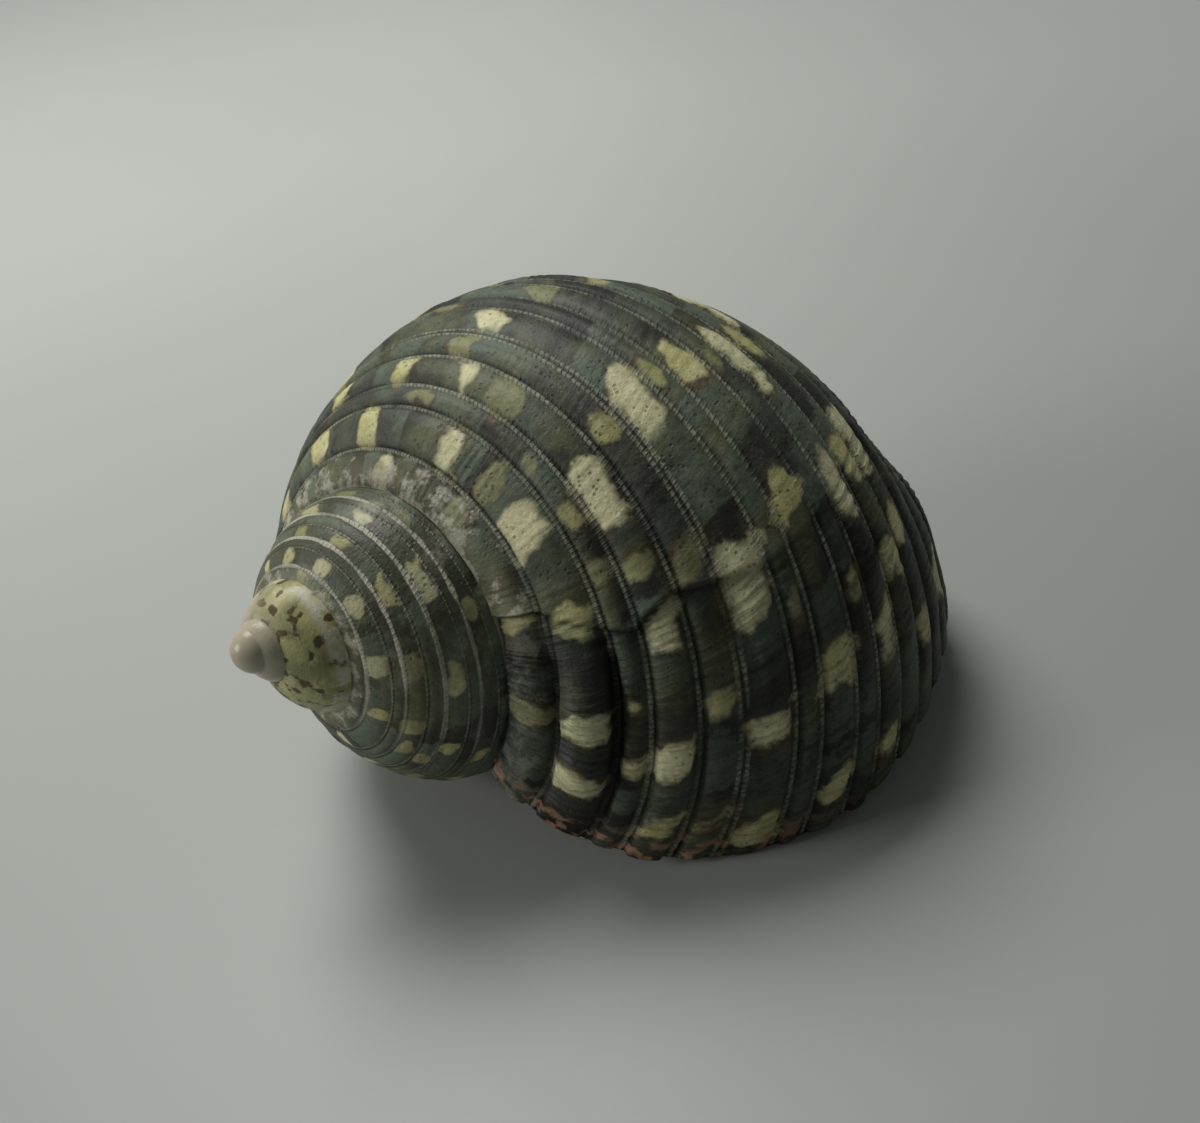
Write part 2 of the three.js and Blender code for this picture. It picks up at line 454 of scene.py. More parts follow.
    def fields(self, angles: np.ndarray, places: np.ndarray, edges: np.ndarray, oldest: float, size: float,
               outline: float) -> tuple[np.ndarray, np.ndarray]:
        """How deep inside a dab each vertex lies, and the dab's tone.

        Args:
            angles: angle of each row of the mesh.
            places: place of each column.
            edges: where the grooves lie.
            oldest: the angle where the coil starts.
            size: widest radius at the lip.
            outline: length of the outline on the last whorl.

        Returns:
            Depth in millimetres on the last whorl's scale, and tone, for each row and column.
        """
        depth = np.full((len(angles), len(places)), -self.reach)
        tone = np.zeros_like(depth)
        for dab in self.placed() + self.scattered(len(edges) - 1, oldest):
            start, end = edges[dab.cord], edges[dab.cord + 1]
            rows = np.flatnonzero(np.abs(angles - dab.angle) < dab.length)
            columns = np.flatnonzero(np.abs(places - 0.5 * (start + end)) < end - start)
            if not len(rows) or not len(columns):
                continue
            here = self.depth_in(dab, angles[rows], places[columns], (start, end), size, outline)
            window = np.ix_(rows, columns)
            closer = here > depth[window]
            depth[window] = np.where(closer, here, depth[window])
            tone[window] = np.where(closer, dab.tone.value, tone[window])
        return np.clip(depth, -self.reach, self.reach), tone


# ---------------------------------------------------------------- relief of the outside


@dataclass(frozen=True)
class Grid:
    """Where the vertices of the outside lie, with rows round the coil and columns across it.

    Attributes:
        angle: angle of each row, counted back from the lip.
        along: millimetres along the coil of each row.
        place: place of each column, as a share of the outline.
        cord: cord of each column.
        to_groove: millimetres from each column to the nearest groove.
    """

    angle: np.ndarray
    along: np.ndarray
    place: np.ndarray
    cord: np.ndarray
    to_groove: np.ndarray

    @property
    def turns(self) -> np.ndarray:
        """Turns back from the lip of each row."""
        return -self.angle / 360.0


@dataclass(frozen=True)
class Relief:
    """Heights over the smooth coil, in millimetres on the last whorl.

    Angles are degrees counted back from the lip, and places are shares of the outline. A pair under
    a name that ends in start, end or fade says where a smooth step begins and where it is full.
    """

    cords: Cords
    outline_mm: float = 93.0
    groove_stops: tuple[float, ...] = (0.0, 0.38, 0.80, 1.5, 3.0)
    groove_heights: tuple[float, ...] = (-0.14, -0.42, 0.08, 0.20, 0.22)
    double_stops: tuple[float, ...] = (0.0, 0.38, 0.80, 1.2, 3.0)
    double_heights: tuple[float, ...] = (-0.34, -0.04, -0.30, 0.12, 0.22)
    double_reach: float = 1.3
    rib_width: float = 0.2
    trench_place: float = 0.38
    trench_other_side: float = 0.25
    trench_in_double: float = 0.6
    trench_least: float = 0.35
    trench_newer: float = 0.75
    trench_fade: tuple[float, float] = (0.20, 0.36)
    crest_start: tuple[float, float] = (0.4, 1.0)
    sway: Swell = Swell(11, 2.2, 16.0)
    bead_pitch: float = 1.05
    bead_height: float = 0.025
    bead_bend: float = 2.6
    bead_range: tuple[float, float] = (0.6, 0.4)
    bead_swell: Swell = Swell(16, 3.0, 30.0)
    wrinkle_pitch: float = 1.25
    wrinkle_height: float = 0.17
    wrinkle_range: tuple[float, float] = (0.25, 0.75)
    wrinkle_base: float = 0.5
    wrinkle_fade: tuple[float, float] = (0.3, 0.6)
    wrinkle_bends: tuple[float, float] = (5.0, 1.5)
    wrinkle_swell: Swell = Swell(17, 3.5, 7.0)
    wrinkle_patches: Swell = Swell(12, 3.0, 5.0, 2.3)
    wrinkle_start: tuple[float, float] = (-0.5, 0.7)
    wave_height: float = 0.22
    waves: Swell = Swell(13, 4.5, 0.3, 3.1)
    swell_height: float = 0.14
    swells: Swell = Swell(14, 14.0, 9.0)
    spire_start: tuple[float, float] = (0.95, 1.15)
    spire_calm: float = 0.5
    bare_start: tuple[float, float] = (1.8, 2.35)
    ridge_height: float = 0.45
    ridge_width: float = 0.85
    ridge_between: float = 0.35
    ridge_end: tuple[float, float] = (1.8, 2.1)
    scar_places: tuple[float, ...] = (0.0, 0.060, 0.085, 0.130, 0.155, 0.170, 0.200, 0.245, 0.300, 0.42)
    scar_angles: tuple[float, ...] = (-63.0, -62.0, -58.0, -53.0, -51.0, -53.0, -54.0, -51.0, -48.0, -46.0)
    scar_start: tuple[float, float] = (-0.2, 0.5)
    scar_fades: tuple[float, float] = (0.85, 0.15)
    scar_fade: tuple[float, float] = (0.22, 0.32)
    scar_last_fade: tuple[float, float] = (0.32, 0.44)
    scar_drop: float = 1.0
    scar_recovery: float = 6.0
    scar_rim: float = 0.22
    scar_rim_length: float = 3.0
    scar_line: float = 0.9
    chip_angle: float = -51.0
    chip_place: float = 0.116
    chip_size: tuple[float, float] = (1.5, 0.011)
    chip_power: float = 1.5
    chip_depth: float = 0.45
    cleft_widths: tuple[float, float] = (0.62, 0.40)
    cleft_inner: float = 0.55
    cleft_start: tuple[float, float] = (-52.0, -46.0)
    cleft_end: tuple[float, float] = (-11.0, -3.0)
    cleft_depth: float = 1.2
    cleft_shallows: float = 0.72
    cleft_fade: tuple[float, float] = (-38.0, -12.0)
    lumpy_cord: int = 1
    lumpy_height: float = 1.5
    lumpy_power: float = 0.7
    lumpy_start: tuple[float, float] = (-50.0, -42.0)
    lumpy_end: tuple[float, float] = (-16.0, -4.0)
    lump_size: float = 0.35
    lump_rate: float = 0.42
    lump_from: float = -40.0
    swollen_cords: tuple[int, int] = (0, 3)
    swollen_height: float = 0.35
    flare_place: float = 0.68
    flare_width: float = 0.10
    flare_height: float = 0.7
    flare_start: tuple[float, float] = (-36.0, -20.0)
    waist_depth: float = 0.6
    waist_angle: float = -44.0
    waist_length: float = 9.0
    layer_depth: float = 0.16
    layer_pitch: float = 1.7
    layer_bend: float = 0.6
    layer_swell: Swell = Swell(15, 6.0, 12.0)
    layer_start: tuple[float, float] = (-13.0, -2.0)
    layer_fade: tuple[float, float] = (0.2, 0.5)

    def nearest_groove(self, grid: Grid) -> np.ndarray:
        """Number of the groove that is nearest to each column."""
        away = np.abs(grid.place[..., None] - self.cords.edges())
        return np.argmin(away, axis=-1)

    def beside_double(self, grid: Grid) -> np.ndarray:
        """Whether a column is in the double groove."""
        double = self.cords.edges()[self.cords.double_groove]
        return np.abs(grid.place - double) * self.outline_mm < self.double_reach

    def on_rib(self, grid: Grid) -> np.ndarray:
        """1 on the thin rib of a groove, falling to 0 beside it."""
        paired = bell(grid.to_groove - self.trench_place, self.rib_width)
        return np.where(self.beside_double(grid), paired, bell(grid.to_groove, self.rib_width))

    def in_trench(self, grid: Grid) -> np.ndarray:
        """Strength of the narrow trench beside a rib, which the finish darkens as painted shade.

        Args:
            grid: where the vertices lie.

        Returns:
            1 on the base side of a rib, less on its suture side, and 0 on the crests.
        """
        below = grid.place > self.cords.edges()[self.nearest_groove(grid)]
        single = bell(grid.to_groove - self.trench_place, self.rib_width)
        single = single * np.where(below, 1.0, self.trench_other_side)
        paired = self.trench_in_double * bell(grid.to_groove, self.rib_width)
        return np.where(self.beside_double(grid), paired, single)

    def trench_depth(self, grid: Grid) -> np.ndarray:
        """How deep the trenches are: deepest on the shoulder and on the newest shell."""
        deep = np.maximum(1.0 - smooth(grid.place, *self.trench_fade), self.trench_newer * self.newer(grid))
        return self.trench_least + (1.0 - self.trench_least) * deep

    def ridge(self, grid: Grid) -> np.ndarray:
        """Strength of the broad pale ridges of the spire, strong at every second groove."""
        strong = np.where(self.nearest_groove(grid) % 2 == 1, 1.0, self.ridge_between)
        return strong * bell(grid.to_groove, self.ridge_width)

    def past_scar(self, grid: Grid) -> np.ndarray:
        """Degrees from the old broken lip to each vertex."""
        return grid.angle - np.interp(grid.place, self.scar_places, self.scar_angles)

    def newer(self, grid: Grid) -> np.ndarray:
        """1 on the shell that grew after the break, and 0 before it."""
        return smooth(self.past_scar(grid), *self.scar_start)

    def scar_strength(self, grid: Grid) -> np.ndarray:
        """How strongly the old break shows, from 1 near the suture to 0."""
        weaker = self.scar_fades[0] * smooth(grid.place, *self.scar_fade)
        return 1.0 - weaker - self.scar_fades[1] * smooth(grid.place, *self.scar_last_fade)

    def scar_edge(self, grid: Grid) -> np.ndarray:
        """1 on the line of the old break, falling to 0 beside it."""
        return bell(self.past_scar(grid), self.scar_line) * self.scar_strength(grid)

    def cleft(self, grid: Grid) -> np.ndarray:
        """Strength of the deep clefts on both sides of the lumpy cord.

        Args:
            grid: where the vertices lie.

        Returns:
            1 in the cleft on the base side, less in the other one, and 0 away from them.
        """
        edges = self.cords.edges()
        outer = bell((grid.place - edges[self.lumpy_cord + 1]) * self.outline_mm, self.cleft_widths[0])
        inner = bell((grid.place - edges[self.lumpy_cord]) * self.outline_mm, self.cleft_widths[1])
        stretch = plateau(grid.angle, self.cleft_start, self.cleft_end)
        return np.maximum(outer, self.cleft_inner * inner) * stretch

    def chip(self, grid: Grid) -> np.ndarray:
        """1 in the hole that the break left, and 0 away from it."""
        length, width = (grid.angle - self.chip_angle) / self.chip_size[0], grid.place - self.chip_place
        return np.exp(-(length**2 + (width / self.chip_size[1]) ** 2) ** self.chip_power)

    def grooves(self, grid: Grid) -> np.ndarray:
        """Heights of the cords, their trenches and the beads on their ribs.

        Args:
            grid: where the vertices lie.

        Returns:
            Heights for each row and column.
        """
        single = np.interp(grid.to_groove, self.groove_stops, self.groove_heights)
        double = np.interp(grid.to_groove, self.double_stops, self.double_heights)
        height = np.where(self.beside_double(grid), double, single) + 0.0 * grid.angle
        height = np.where(height < 0.0, height * self.trench_depth(grid), height)
        beads = np.sin(2 * math.pi * grid.along / self.bead_pitch + self.bead_bend * self.sway.over(grid))
        evenness = self.bead_range[0] + self.bead_range[1] * self.bead_swell.over(grid)
        return height + self.on_rib(grid) * self.bead_height * beads * evenness

    def wrinkles(self, grid: Grid) -> np.ndarray:
        """Heights of the growth wrinkles and of the slow waves under them.

        Args:
            grid: where the vertices lie.

        Returns:
            Heights for each row and column.
        """
        on_crest = smooth(grid.to_groove, *self.crest_start)
        towards_base = 1.0 - self.wrinkle_base * smooth(grid.place, *self.wrinkle_fade)
        amount = self.wrinkle_range[0] + self.wrinkle_range[1] * self.newer(grid) * towards_base
        amount = amount * smooth(self.wrinkle_patches.over(grid), *self.wrinkle_start)
        bend = self.wrinkle_bends[0] * self.wrinkle_swell.over(grid)
        bend = bend + self.wrinkle_bends[1] * self.sway.over(grid)
        folds = self.wrinkle_height * amount * np.sin(2 * math.pi * grid.along / self.wrinkle_pitch + bend)
        waves = self.wave_height * self.waves.over(grid)
        return on_crest * (folds + waves) + self.swell_height * self.swells.over(grid)

    def broken_lip(self, grid: Grid) -> np.ndarray:
        """Heights round the old break: a raised rim, sunk shell after it and the chipped corner.

        Args:
            grid: where the vertices lie.

        Returns:
            Heights for each row and column.
        """
        past, newer = self.past_scar(grid), self.newer(grid)
        rim = self.scar_rim * (1.0 - newer) * np.exp(np.minimum(past, 0.0) / self.scar_rim_length)
        sunk = self.scar_drop * newer * np.exp(-np.maximum(past, 0.0) / self.scar_recovery)
        return self.scar_strength(grid) * (rim - sunk) - self.chip_depth * self.chip(grid)

    def lumps(self, grid: Grid) -> np.ndarray:
        """Heights of the lumpy cord that grew after the break, its neighbours and its clefts.

        Args:
            grid: where the vertices lie.

        Returns:
            Heights for each row and column.
        """
        start, end = self.cords.edges()[self.lumpy_cord:self.lumpy_cord + 2]
        across = np.clip((grid.place - start) / (end - start), 0.0, 1.0)
        hump = self.lumpy_height * np.sin(math.pi * across) ** self.lumpy_power
        hump = hump * (1.0 + self.lump_size * np.sin((grid.angle - self.lump_from) * self.lump_rate))
        swollen = self.swollen_height * smooth(grid.to_groove, *self.crest_start)
        swollen = swollen * np.isin(grid.cord, self.swollen_cords)
        depth = self.cleft_depth * (1.0 - self.cleft_shallows * smooth(grid.angle, *self.cleft_fade))
        stretch = plateau(grid.angle, self.lumpy_start, self.lumpy_end)
        return stretch * (hump + swollen) - depth * self.cleft(grid)

    def outer_edge(self, grid: Grid) -> np.ndarray:
        """Heights of the bump on the whorl's outer edge near the lip, and of the waist before it."""
        rise = self.flare_height * smooth(grid.angle, *self.flare_start)
        waist = self.waist_depth * bell(grid.angle - self.waist_angle, self.waist_length)
        return bell(grid.place - self.flare_place, self.flare_width) * (rise - waist)

    def lip_layers(self, grid: Grid) -> np.ndarray:
        """Heights of the thin layers that end just before the lip."""
        layer = np.mod(grid.along / self.layer_pitch + self.layer_bend * self.layer_swell.over(grid), 1.0)
        near_lip = smooth(grid.angle, *self.layer_start) * (1.0 - smooth(grid.place, *self.layer_fade))
        return -self.layer_depth * near_lip * layer

    def heights(self, grid: Grid) -> np.ndarray:
        """Height of every vertex over the smooth coil.

        Args:
            grid: where the vertices lie.

        Returns:
            Heights for each row and column.
        """
        calm = 1.0 - self.spire_calm * smooth(grid.turns, *self.spire_start)
        calm = calm * (1.0 - smooth(grid.turns, *self.bare_start))
        height = (self.grooves(grid) + self.wrinkles(grid)) * calm
        on_spire = plateau(grid.turns, self.spire_start, self.ridge_end)
        height += self.ridge_height * self.ridge(grid) * on_spire
        height += self.broken_lip(grid) + self.lumps(grid)
        height += self.outer_edge(grid) + self.lip_layers(grid)
        return height


# ---------------------------------------------------------------- the shell mesh


@dataclass
class MeshBag:
    """Vertices, faces and painted values gathered from the shell's stretches."""

    points: list[np.ndarray] = field(default_factory=list)
    faces: list[np.ndarray] = field(default_factory=list)
    paint: dict[str, list[np.ndarray]] = field(default_factory=dict)
    count: int = 0

    def add_points(self, points: np.ndarray, paint: dict[str, np.ndarray]) -> np.ndarray:
        """Adds a grid of vertices.

        Args:
            points: the vertices, rows by columns by three.
            paint: painted values by name, each one for every vertex.

        Returns:
            The number of each vertex, rows by columns.
        """
        rows, columns = points.shape[:2]
        self.points.append(points.reshape(-1, 3))
        for name, values in paint.items():
            flat = np.broadcast_to(values, (rows, columns)).reshape(-1)
            self.paint.setdefault(name, []).append(flat)
        numbers = np.arange(rows * columns).reshape(rows, columns) + self.count
        self.count += rows * columns
        return numbers

    def add_sheet(self, numbers: np.ndarray, keep: np.ndarray | None = None, flip: bool = False) -> None:
        """Joins a grid of vertices with four-sided faces.

        Args:
            numbers: vertex numbers, rows by columns.
            keep: which faces to make, one for each cell; all if not given.
            flip: turns the faces round.
        """
        a, b = numbers[:-1, :-1], numbers[:-1, 1:]
        c, d = numbers[1:, :-1], numbers[1:, 1:]
        order = (a, c, d, b) if flip else (a, b, d, c)
        cells = np.stack(order, axis=-1).reshape(-1, 4)
        if keep is not None:
            cells = cells[keep.reshape(-1)]
        self.faces.append(cells)

    def build(self, name: str, place: Matrix) -> bpy.types.Object:
        """Makes the Blender object, with unused vertices left out.

        Args:
            name: name of the object.
            place: how the coil's frame lies in the part's frame.

        Returns:
            The object, smooth shaded, with one value layer for each painted name.
        """
        faces = np.concatenate(self.faces)
        used, packed = np.unique(faces, return_inverse=True)
        points = np.concatenate(self.points)[used]
        turned = points @ np.array(place.to_3x3()).T
        mesh = bpy.data.meshes.new(name)
        mesh.from_pydata((turned * MM).tolist(), [], packed.reshape(-1, 4).tolist())
        for paint, values in self.paint.items():
            layer = mesh.attributes.new(paint, "FLOAT", "POINT")
            layer.data.foreach_set("value", np.concatenate(values)[used].astype(np.float32))
        mesh.shade_smooth()
        mesh.validate()
        piece = bpy.data.objects.new(name, mesh)
        bpy.context.scene.collection.objects.link(piece)
        return piece


@dataclass
class TurbanShell:
    """The whole shell as one mesh.

    Steps between the mesh's rows are degrees. Walls are shares of the widest radius, and the nub's
    sizes are millimetres.
    """

    coil: Coil = field(default_factory=Coil)
    cords: Cords = field(default_factory=Cords)
    dabs: DabPattern = field(default_factory=DabPattern)
    spire_step: float = 3.6
    back_step: float = 2.2
    front_step: float = 0.45
    back_from: float = -450.0
    front_from: float = -125.0
    covered_place: float = 0.47
    drift: Swell = Swell(21, 5.5, 0.0, 7.3)
    blocks: Swell = Swell(22, 3.4, 0.0, 5.1)
    wall: float = 0.050
    lip_wall: float = 0.018
    lip_roll: tuple[float, float, float] = (0.0, 0.9, 0.3)
    lip_edge: tuple[float, float] = (-1.0, 3.0)
    lip_taper: float = 40.0
    lining_depth: float = 330.0
    lining_step: float = 6.0
    suture_inset: tuple[float, float] = (0.06, 0.12)
    suture_places: float = 0.06
    nub_radius: float = 2.05
    nub_shift: tuple[float, float] = (0.15, -0.1)
    nub_grid: tuple[int, int] = (25, 49)
    nub_pole: float = 0.02
    rest_spin: float = 46.2
    rest_lean: float = 70.0
    rest_heading: float = -142.6
    columella: tuple[tuple[float, float], ...] = (
        (0.155, 1.80), (0.135, 1.60), (0.13, 1.33), (0.15, 1.04), (0.25, 0.92), (0.37, 0.81), (0.45, 0.68))
    callus_back: tuple[tuple[float, float], ...] = (
        (0.06, 1.84), (0.04, 1.60), (0.03, 1.30), (0.05, 1.00), (0.15, 0.84), (0.28, 0.72), (0.38, 0.58))

    def __post_init__(self) -> None:
        """Works out the relief, the widest radius at the lip and the columns from the coil."""
        self.relief = Relief(self.cords)
        self.size = self.coil.lip_radius()
        self.outline_mm = self.size * self.coil.outline_length()
        self.places, self.cord, self.to_groove = self.cords.columns(self.outline_mm)

    def resting(self) -> Matrix:
        """How the coiling axis lies when the shell rests on its mouth.

        Returns:
            The turn from the coil's frame to the part's frame.
        """
        spin = Matrix.Rotation(math.radians(self.rest_spin), 4, "Z")
        lean = Matrix.Rotation(math.radians(self.rest_lean), 4, "Y")
        heading = Matrix.Rotation(math.radians(self.rest_heading), 4, "Z")
        return heading @ lean @ spin

    def row_angles(self) -> np.ndarray:
        """Angles of the mesh rows, close together on the side that shows.

        Returns:
            The angles from the oldest one to the lip.
        """
        spire = np.arange(self.coil.oldest_angle, self.back_from, self.spire_step)
        back = np.arange(self.back_from, self.front_from, self.back_step)
        front = np.linspace(self.front_from, 0.0, int(-self.front_from / self.front_step) + 1)
        return np.r_[spire, back, front]

    def outside(self, bag: MeshBag) -> np.ndarray:
        """Builds the outside of every whorl.

        Args:
            bag: where the vertices and faces go.

        Returns:
            Vertex numbers of the outside, rows by columns.
        """
        angles = self.row_angles()
        grid = Grid(angles[:, None], self.coil.travelled(angles)[:, None], self.places[None, :],
                    self.cord[None, :], self.to_groove[None, :])
        radius, drop, out, down = self.coil.outline(grid.place)
        rise = self.relief.heights(grid) * np.sqrt(self.coil.radius_growth(grid.angle)) / self.size
        points = self.coil.points(grid.angle, radius + rise * out, drop + rise * down,
                                  self.coil.setback(drop))
        numbers = bag.add_points(points, self.outside_paint(grid))
        shows = (grid.angle >= self.back_from) | (grid.place < self.covered_place)
        bag.add_sheet(numbers, shows[:-1, :-1])
        return numbers

    def outside_paint(self, grid: Grid) -> dict[str, np.ndarray]:
        """Painted values of the outside.

        Args:
            grid: where the vertices lie.

        Returns:
            A value for each painted name.
        """
        relief = self.relief
        depth, tone = self.dabs.fields(grid.angle[:, 0], self.places, self.cords.edges(),
                                       self.coil.oldest_angle, self.size, self.outline_mm)
        return {
            "dab": depth, "tone": tone,
            "along": grid.along, "across": grid.place * self.outline_mm,
            "patch": self.ground(grid, self.drift), "block": self.ground(grid, self.blocks),
            # trench: where the finish paints shade beside the ribs, stronger in deep trenches; it also sets
            # roughness and bumps
            "rib": relief.on_rib(grid), "trench": relief.in_trench(grid) * relief.trench_depth(grid),
            "ridge": relief.ridge(grid), "crack": np.maximum(relief.cleft(grid), relief.chip(grid)),
            "turns": grid.turns, "place": grid.place,
            "newer": relief.newer(grid), "scar": relief.scar_edge(grid),
            "inside": np.zeros_like(depth),
        }

    @staticmethod
    def ground(grid: Grid, swell: Swell) -> np.ndarray:
        """Slow noise that changes from cord to cord, for the patches of the ground.

        Args:
            grid: where the vertices lie.
            swell: the noise.

        Returns:
            A value for each row and column, evened out where two cords meet.
        """
        values = swell.over(grid)
        meeting = np.flatnonzero(np.isclose(grid.to_groove[0], 0.0))[1:-1]
        values[:, meeting] = 0.5 * (values[:, meeting - 1] + values[:, meeting])
        return values

    def inside_paint(self, shape: tuple[int, int], angle: np.ndarray) -> dict[str, np.ndarray]:
        """Painted values of the lining and the lip.

        Args:
            shape: rows and columns.
            angle: angle of every vertex.

        Returns:
            A value for each painted name.
        """
        names = ("tone", "patch", "block", "rib", "trench", "ridge", "crack", "newer", "scar", "across")
        paint = {name: np.zeros(shape) for name in names}
        paint["dab"] = np.full(shape, -self.dabs.reach)
        paint["along"] = self.coil.travelled(angle) + np.zeros(shape)
        paint["turns"] = -angle / 360.0 + np.zeros(shape)
        paint["inside"] = np.ones(shape)
        paint["place"] = np.ones(shape)
        return paint

    def mouth_loop(self, thickness: float) -> np.ndarray:
        """The section of the hollow, as radius and drop.

        Args:
            thickness: thickness of the wall as a share of the widest radius.

        Returns:
            Points round the hollow, with as many along the wall as the outside has columns.
        """
        radius, drop, out, down = self.coil.outline(self.places)
        near_suture = 1.0 - smooth(self.places, 0.0, self.suture_places)
        wall = np.stack([radius - thickness * out + self.suture_inset[0] * near_suture,
                         drop - thickness * down + self.suture_inset[1] * near_suture], axis=-1)
        return np.concatenate([wall, np.array(self.columella)])

    def lining(self, bag: MeshBag, outside: np.ndarray) -> None:
        """Builds the rolled lip and the tube inside the last whorl.

        Args:
            bag: where the vertices and faces go.
            outside: vertex numbers of the outside.
        """
        radius, drop, _, _ = self.coil.outline(self.places)
        outer = np.concatenate([np.stack([radius, drop], axis=-1), np.array(self.callus_back)])
        inner = self.mouth_loop(self.lip_wall)
        deep = self.mouth_loop(self.wall)
        loops = [outer, 0.5 * (outer + inner), inner]
        angles = list(self.lip_roll)
        for back in np.arange(self.lining_step, self.lining_depth, self.lining_step):
            share = float(smooth(back, 0.0, self.lip_taper))
            loops.append(inner * (1 - share) + deep * share)
            angles.append(-float(back))
        section = np.stack(loops)
        angle = np.array(angles)[:, None]
        radius, drop = section[..., 0], section[..., 1]
        points = self.coil.points(angle, radius, drop, self.coil.setback(drop))
        paint = self.inside_paint(section.shape[:2], angle)
        paint["inside"] = smooth(-angle, *self.lip_edge)
        numbers = bag.add_points(points, paint)
        numbers[0, :outside.shape[1]] = outside[-1]
        bag.add_sheet(np.concatenate([numbers, numbers[:, :1]], axis=1))

    def tip(self, bag: MeshBag) -> None:
        """Closes the oldest whorl with a small rounded nub.

        Args:
            bag: where the vertices and faces go.
        """
        radius = self.nub_radius
        turn = np.linspace(0.0, 2 * math.pi, self.nub_grid[1])[None, :]
        tilt = np.linspace(self.nub_pole, math.pi - self.nub_pole, self.nub_grid[0])[:, None]
        points = np.stack([radius * np.sin(tilt) * np.cos(turn) + self.nub_shift[0],
                           radius * np.sin(tilt) * np.sin(turn) + self.nub_shift[1],
                           -radius + radius * np.cos(tilt) + 0.0 * turn], axis=-1)
        paint = self.inside_paint(self.nub_grid, np.full(self.nub_grid, self.coil.oldest_angle))
        paint["inside"] = np.zeros(self.nub_grid)
        bag.add_sheet(bag.add_points(points, paint))

    def build(self) -> bpy.types.Object:
        """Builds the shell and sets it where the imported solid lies.

        Returns:
            The finished object.
        """
        bag = MeshBag()
        self.lining(bag, self.outside(bag))
        self.tip(bag)
        piece = bag.build("turban_shell", self.resting())
        self.settle(piece)
        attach(piece, "root")
        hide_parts("shell")
        return piece

    @staticmethod
    def settle(piece: bpy.types.Object) -> None:
        """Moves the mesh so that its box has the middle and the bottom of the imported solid's.

        Args:
            piece: the shell's object.
        """
        low, high = (Vector(corner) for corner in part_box("shell"))
        points = np.empty(len(piece.data.vertices) * 3)
        piece.data.vertices.foreach_get("co", points)
        points = points.reshape(-1, 3)
        mine_low, mine_high = points.min(axis=0), points.max(axis=0)
        shift = np.array(0.5 * (low + high)) - 0.5 * (mine_low + mine_high)
        shift[2] = low[2] - mine_low[2]
        piece.data.vertices.foreach_set("co", (points + shift).reshape(-1))
        piece.data.update()


# ---------------------------------------------------------------- shader helpers


class Signal:
    """A value socket that takes part in Python arithmetic, adding Math nodes as it goes."""

    def __init__(self, board: Board, socket: Any) -> None:
        """Wraps a socket of the board's node tree."""
        self.board = board
        self.socket = socket

    def _math(self, operation: str, *values: Any) -> Signal:
        """Adds a Math node and wraps its result."""
        return self.board.value("ShaderNodeMath", {"operation": operation}, *values)

    def __add__(self, other: Any) -> Signal:
        """Sum."""
        return self._math("ADD", self, other)

    __radd__ = __add__

    def __sub__(self, other: Any) -> Signal:
        """Difference."""
        return self._math("SUBTRACT", self, other)

    def __rsub__(self, other: Any) -> Signal:
        """Difference with the signal second."""
        return self._math("SUBTRACT", other, self)

    def __mul__(self, other: Any) -> Signal:
        """Product."""
        return self._math("MULTIPLY", self, other)

    __rmul__ = __mul__

    def __truediv__(self, other: Any) -> Signal:
        """Quotient."""
        return self._math("DIVIDE", self, other)

    def sine(self) -> Signal:
        """Sine of the signal in radians."""
        return self._math("SINE", self)

    def step(self, low: float, high: float) -> Signal:
        """Smooth step from 0 to 1.

        Args:
            low: value where the step begins; it may be the larger one.
            high: value where it is full.

        Returns:
            The step.
        """
        settings = {"interpolation_type": "SMOOTHSTEP"}
        if low < high:
            return self.board.value("ShaderNodeMapRange", settings, self, low, high, 0.0, 1.0)
        return self.board.value("ShaderNodeMapRange", settings, self, high, low, 1.0, 0.0)


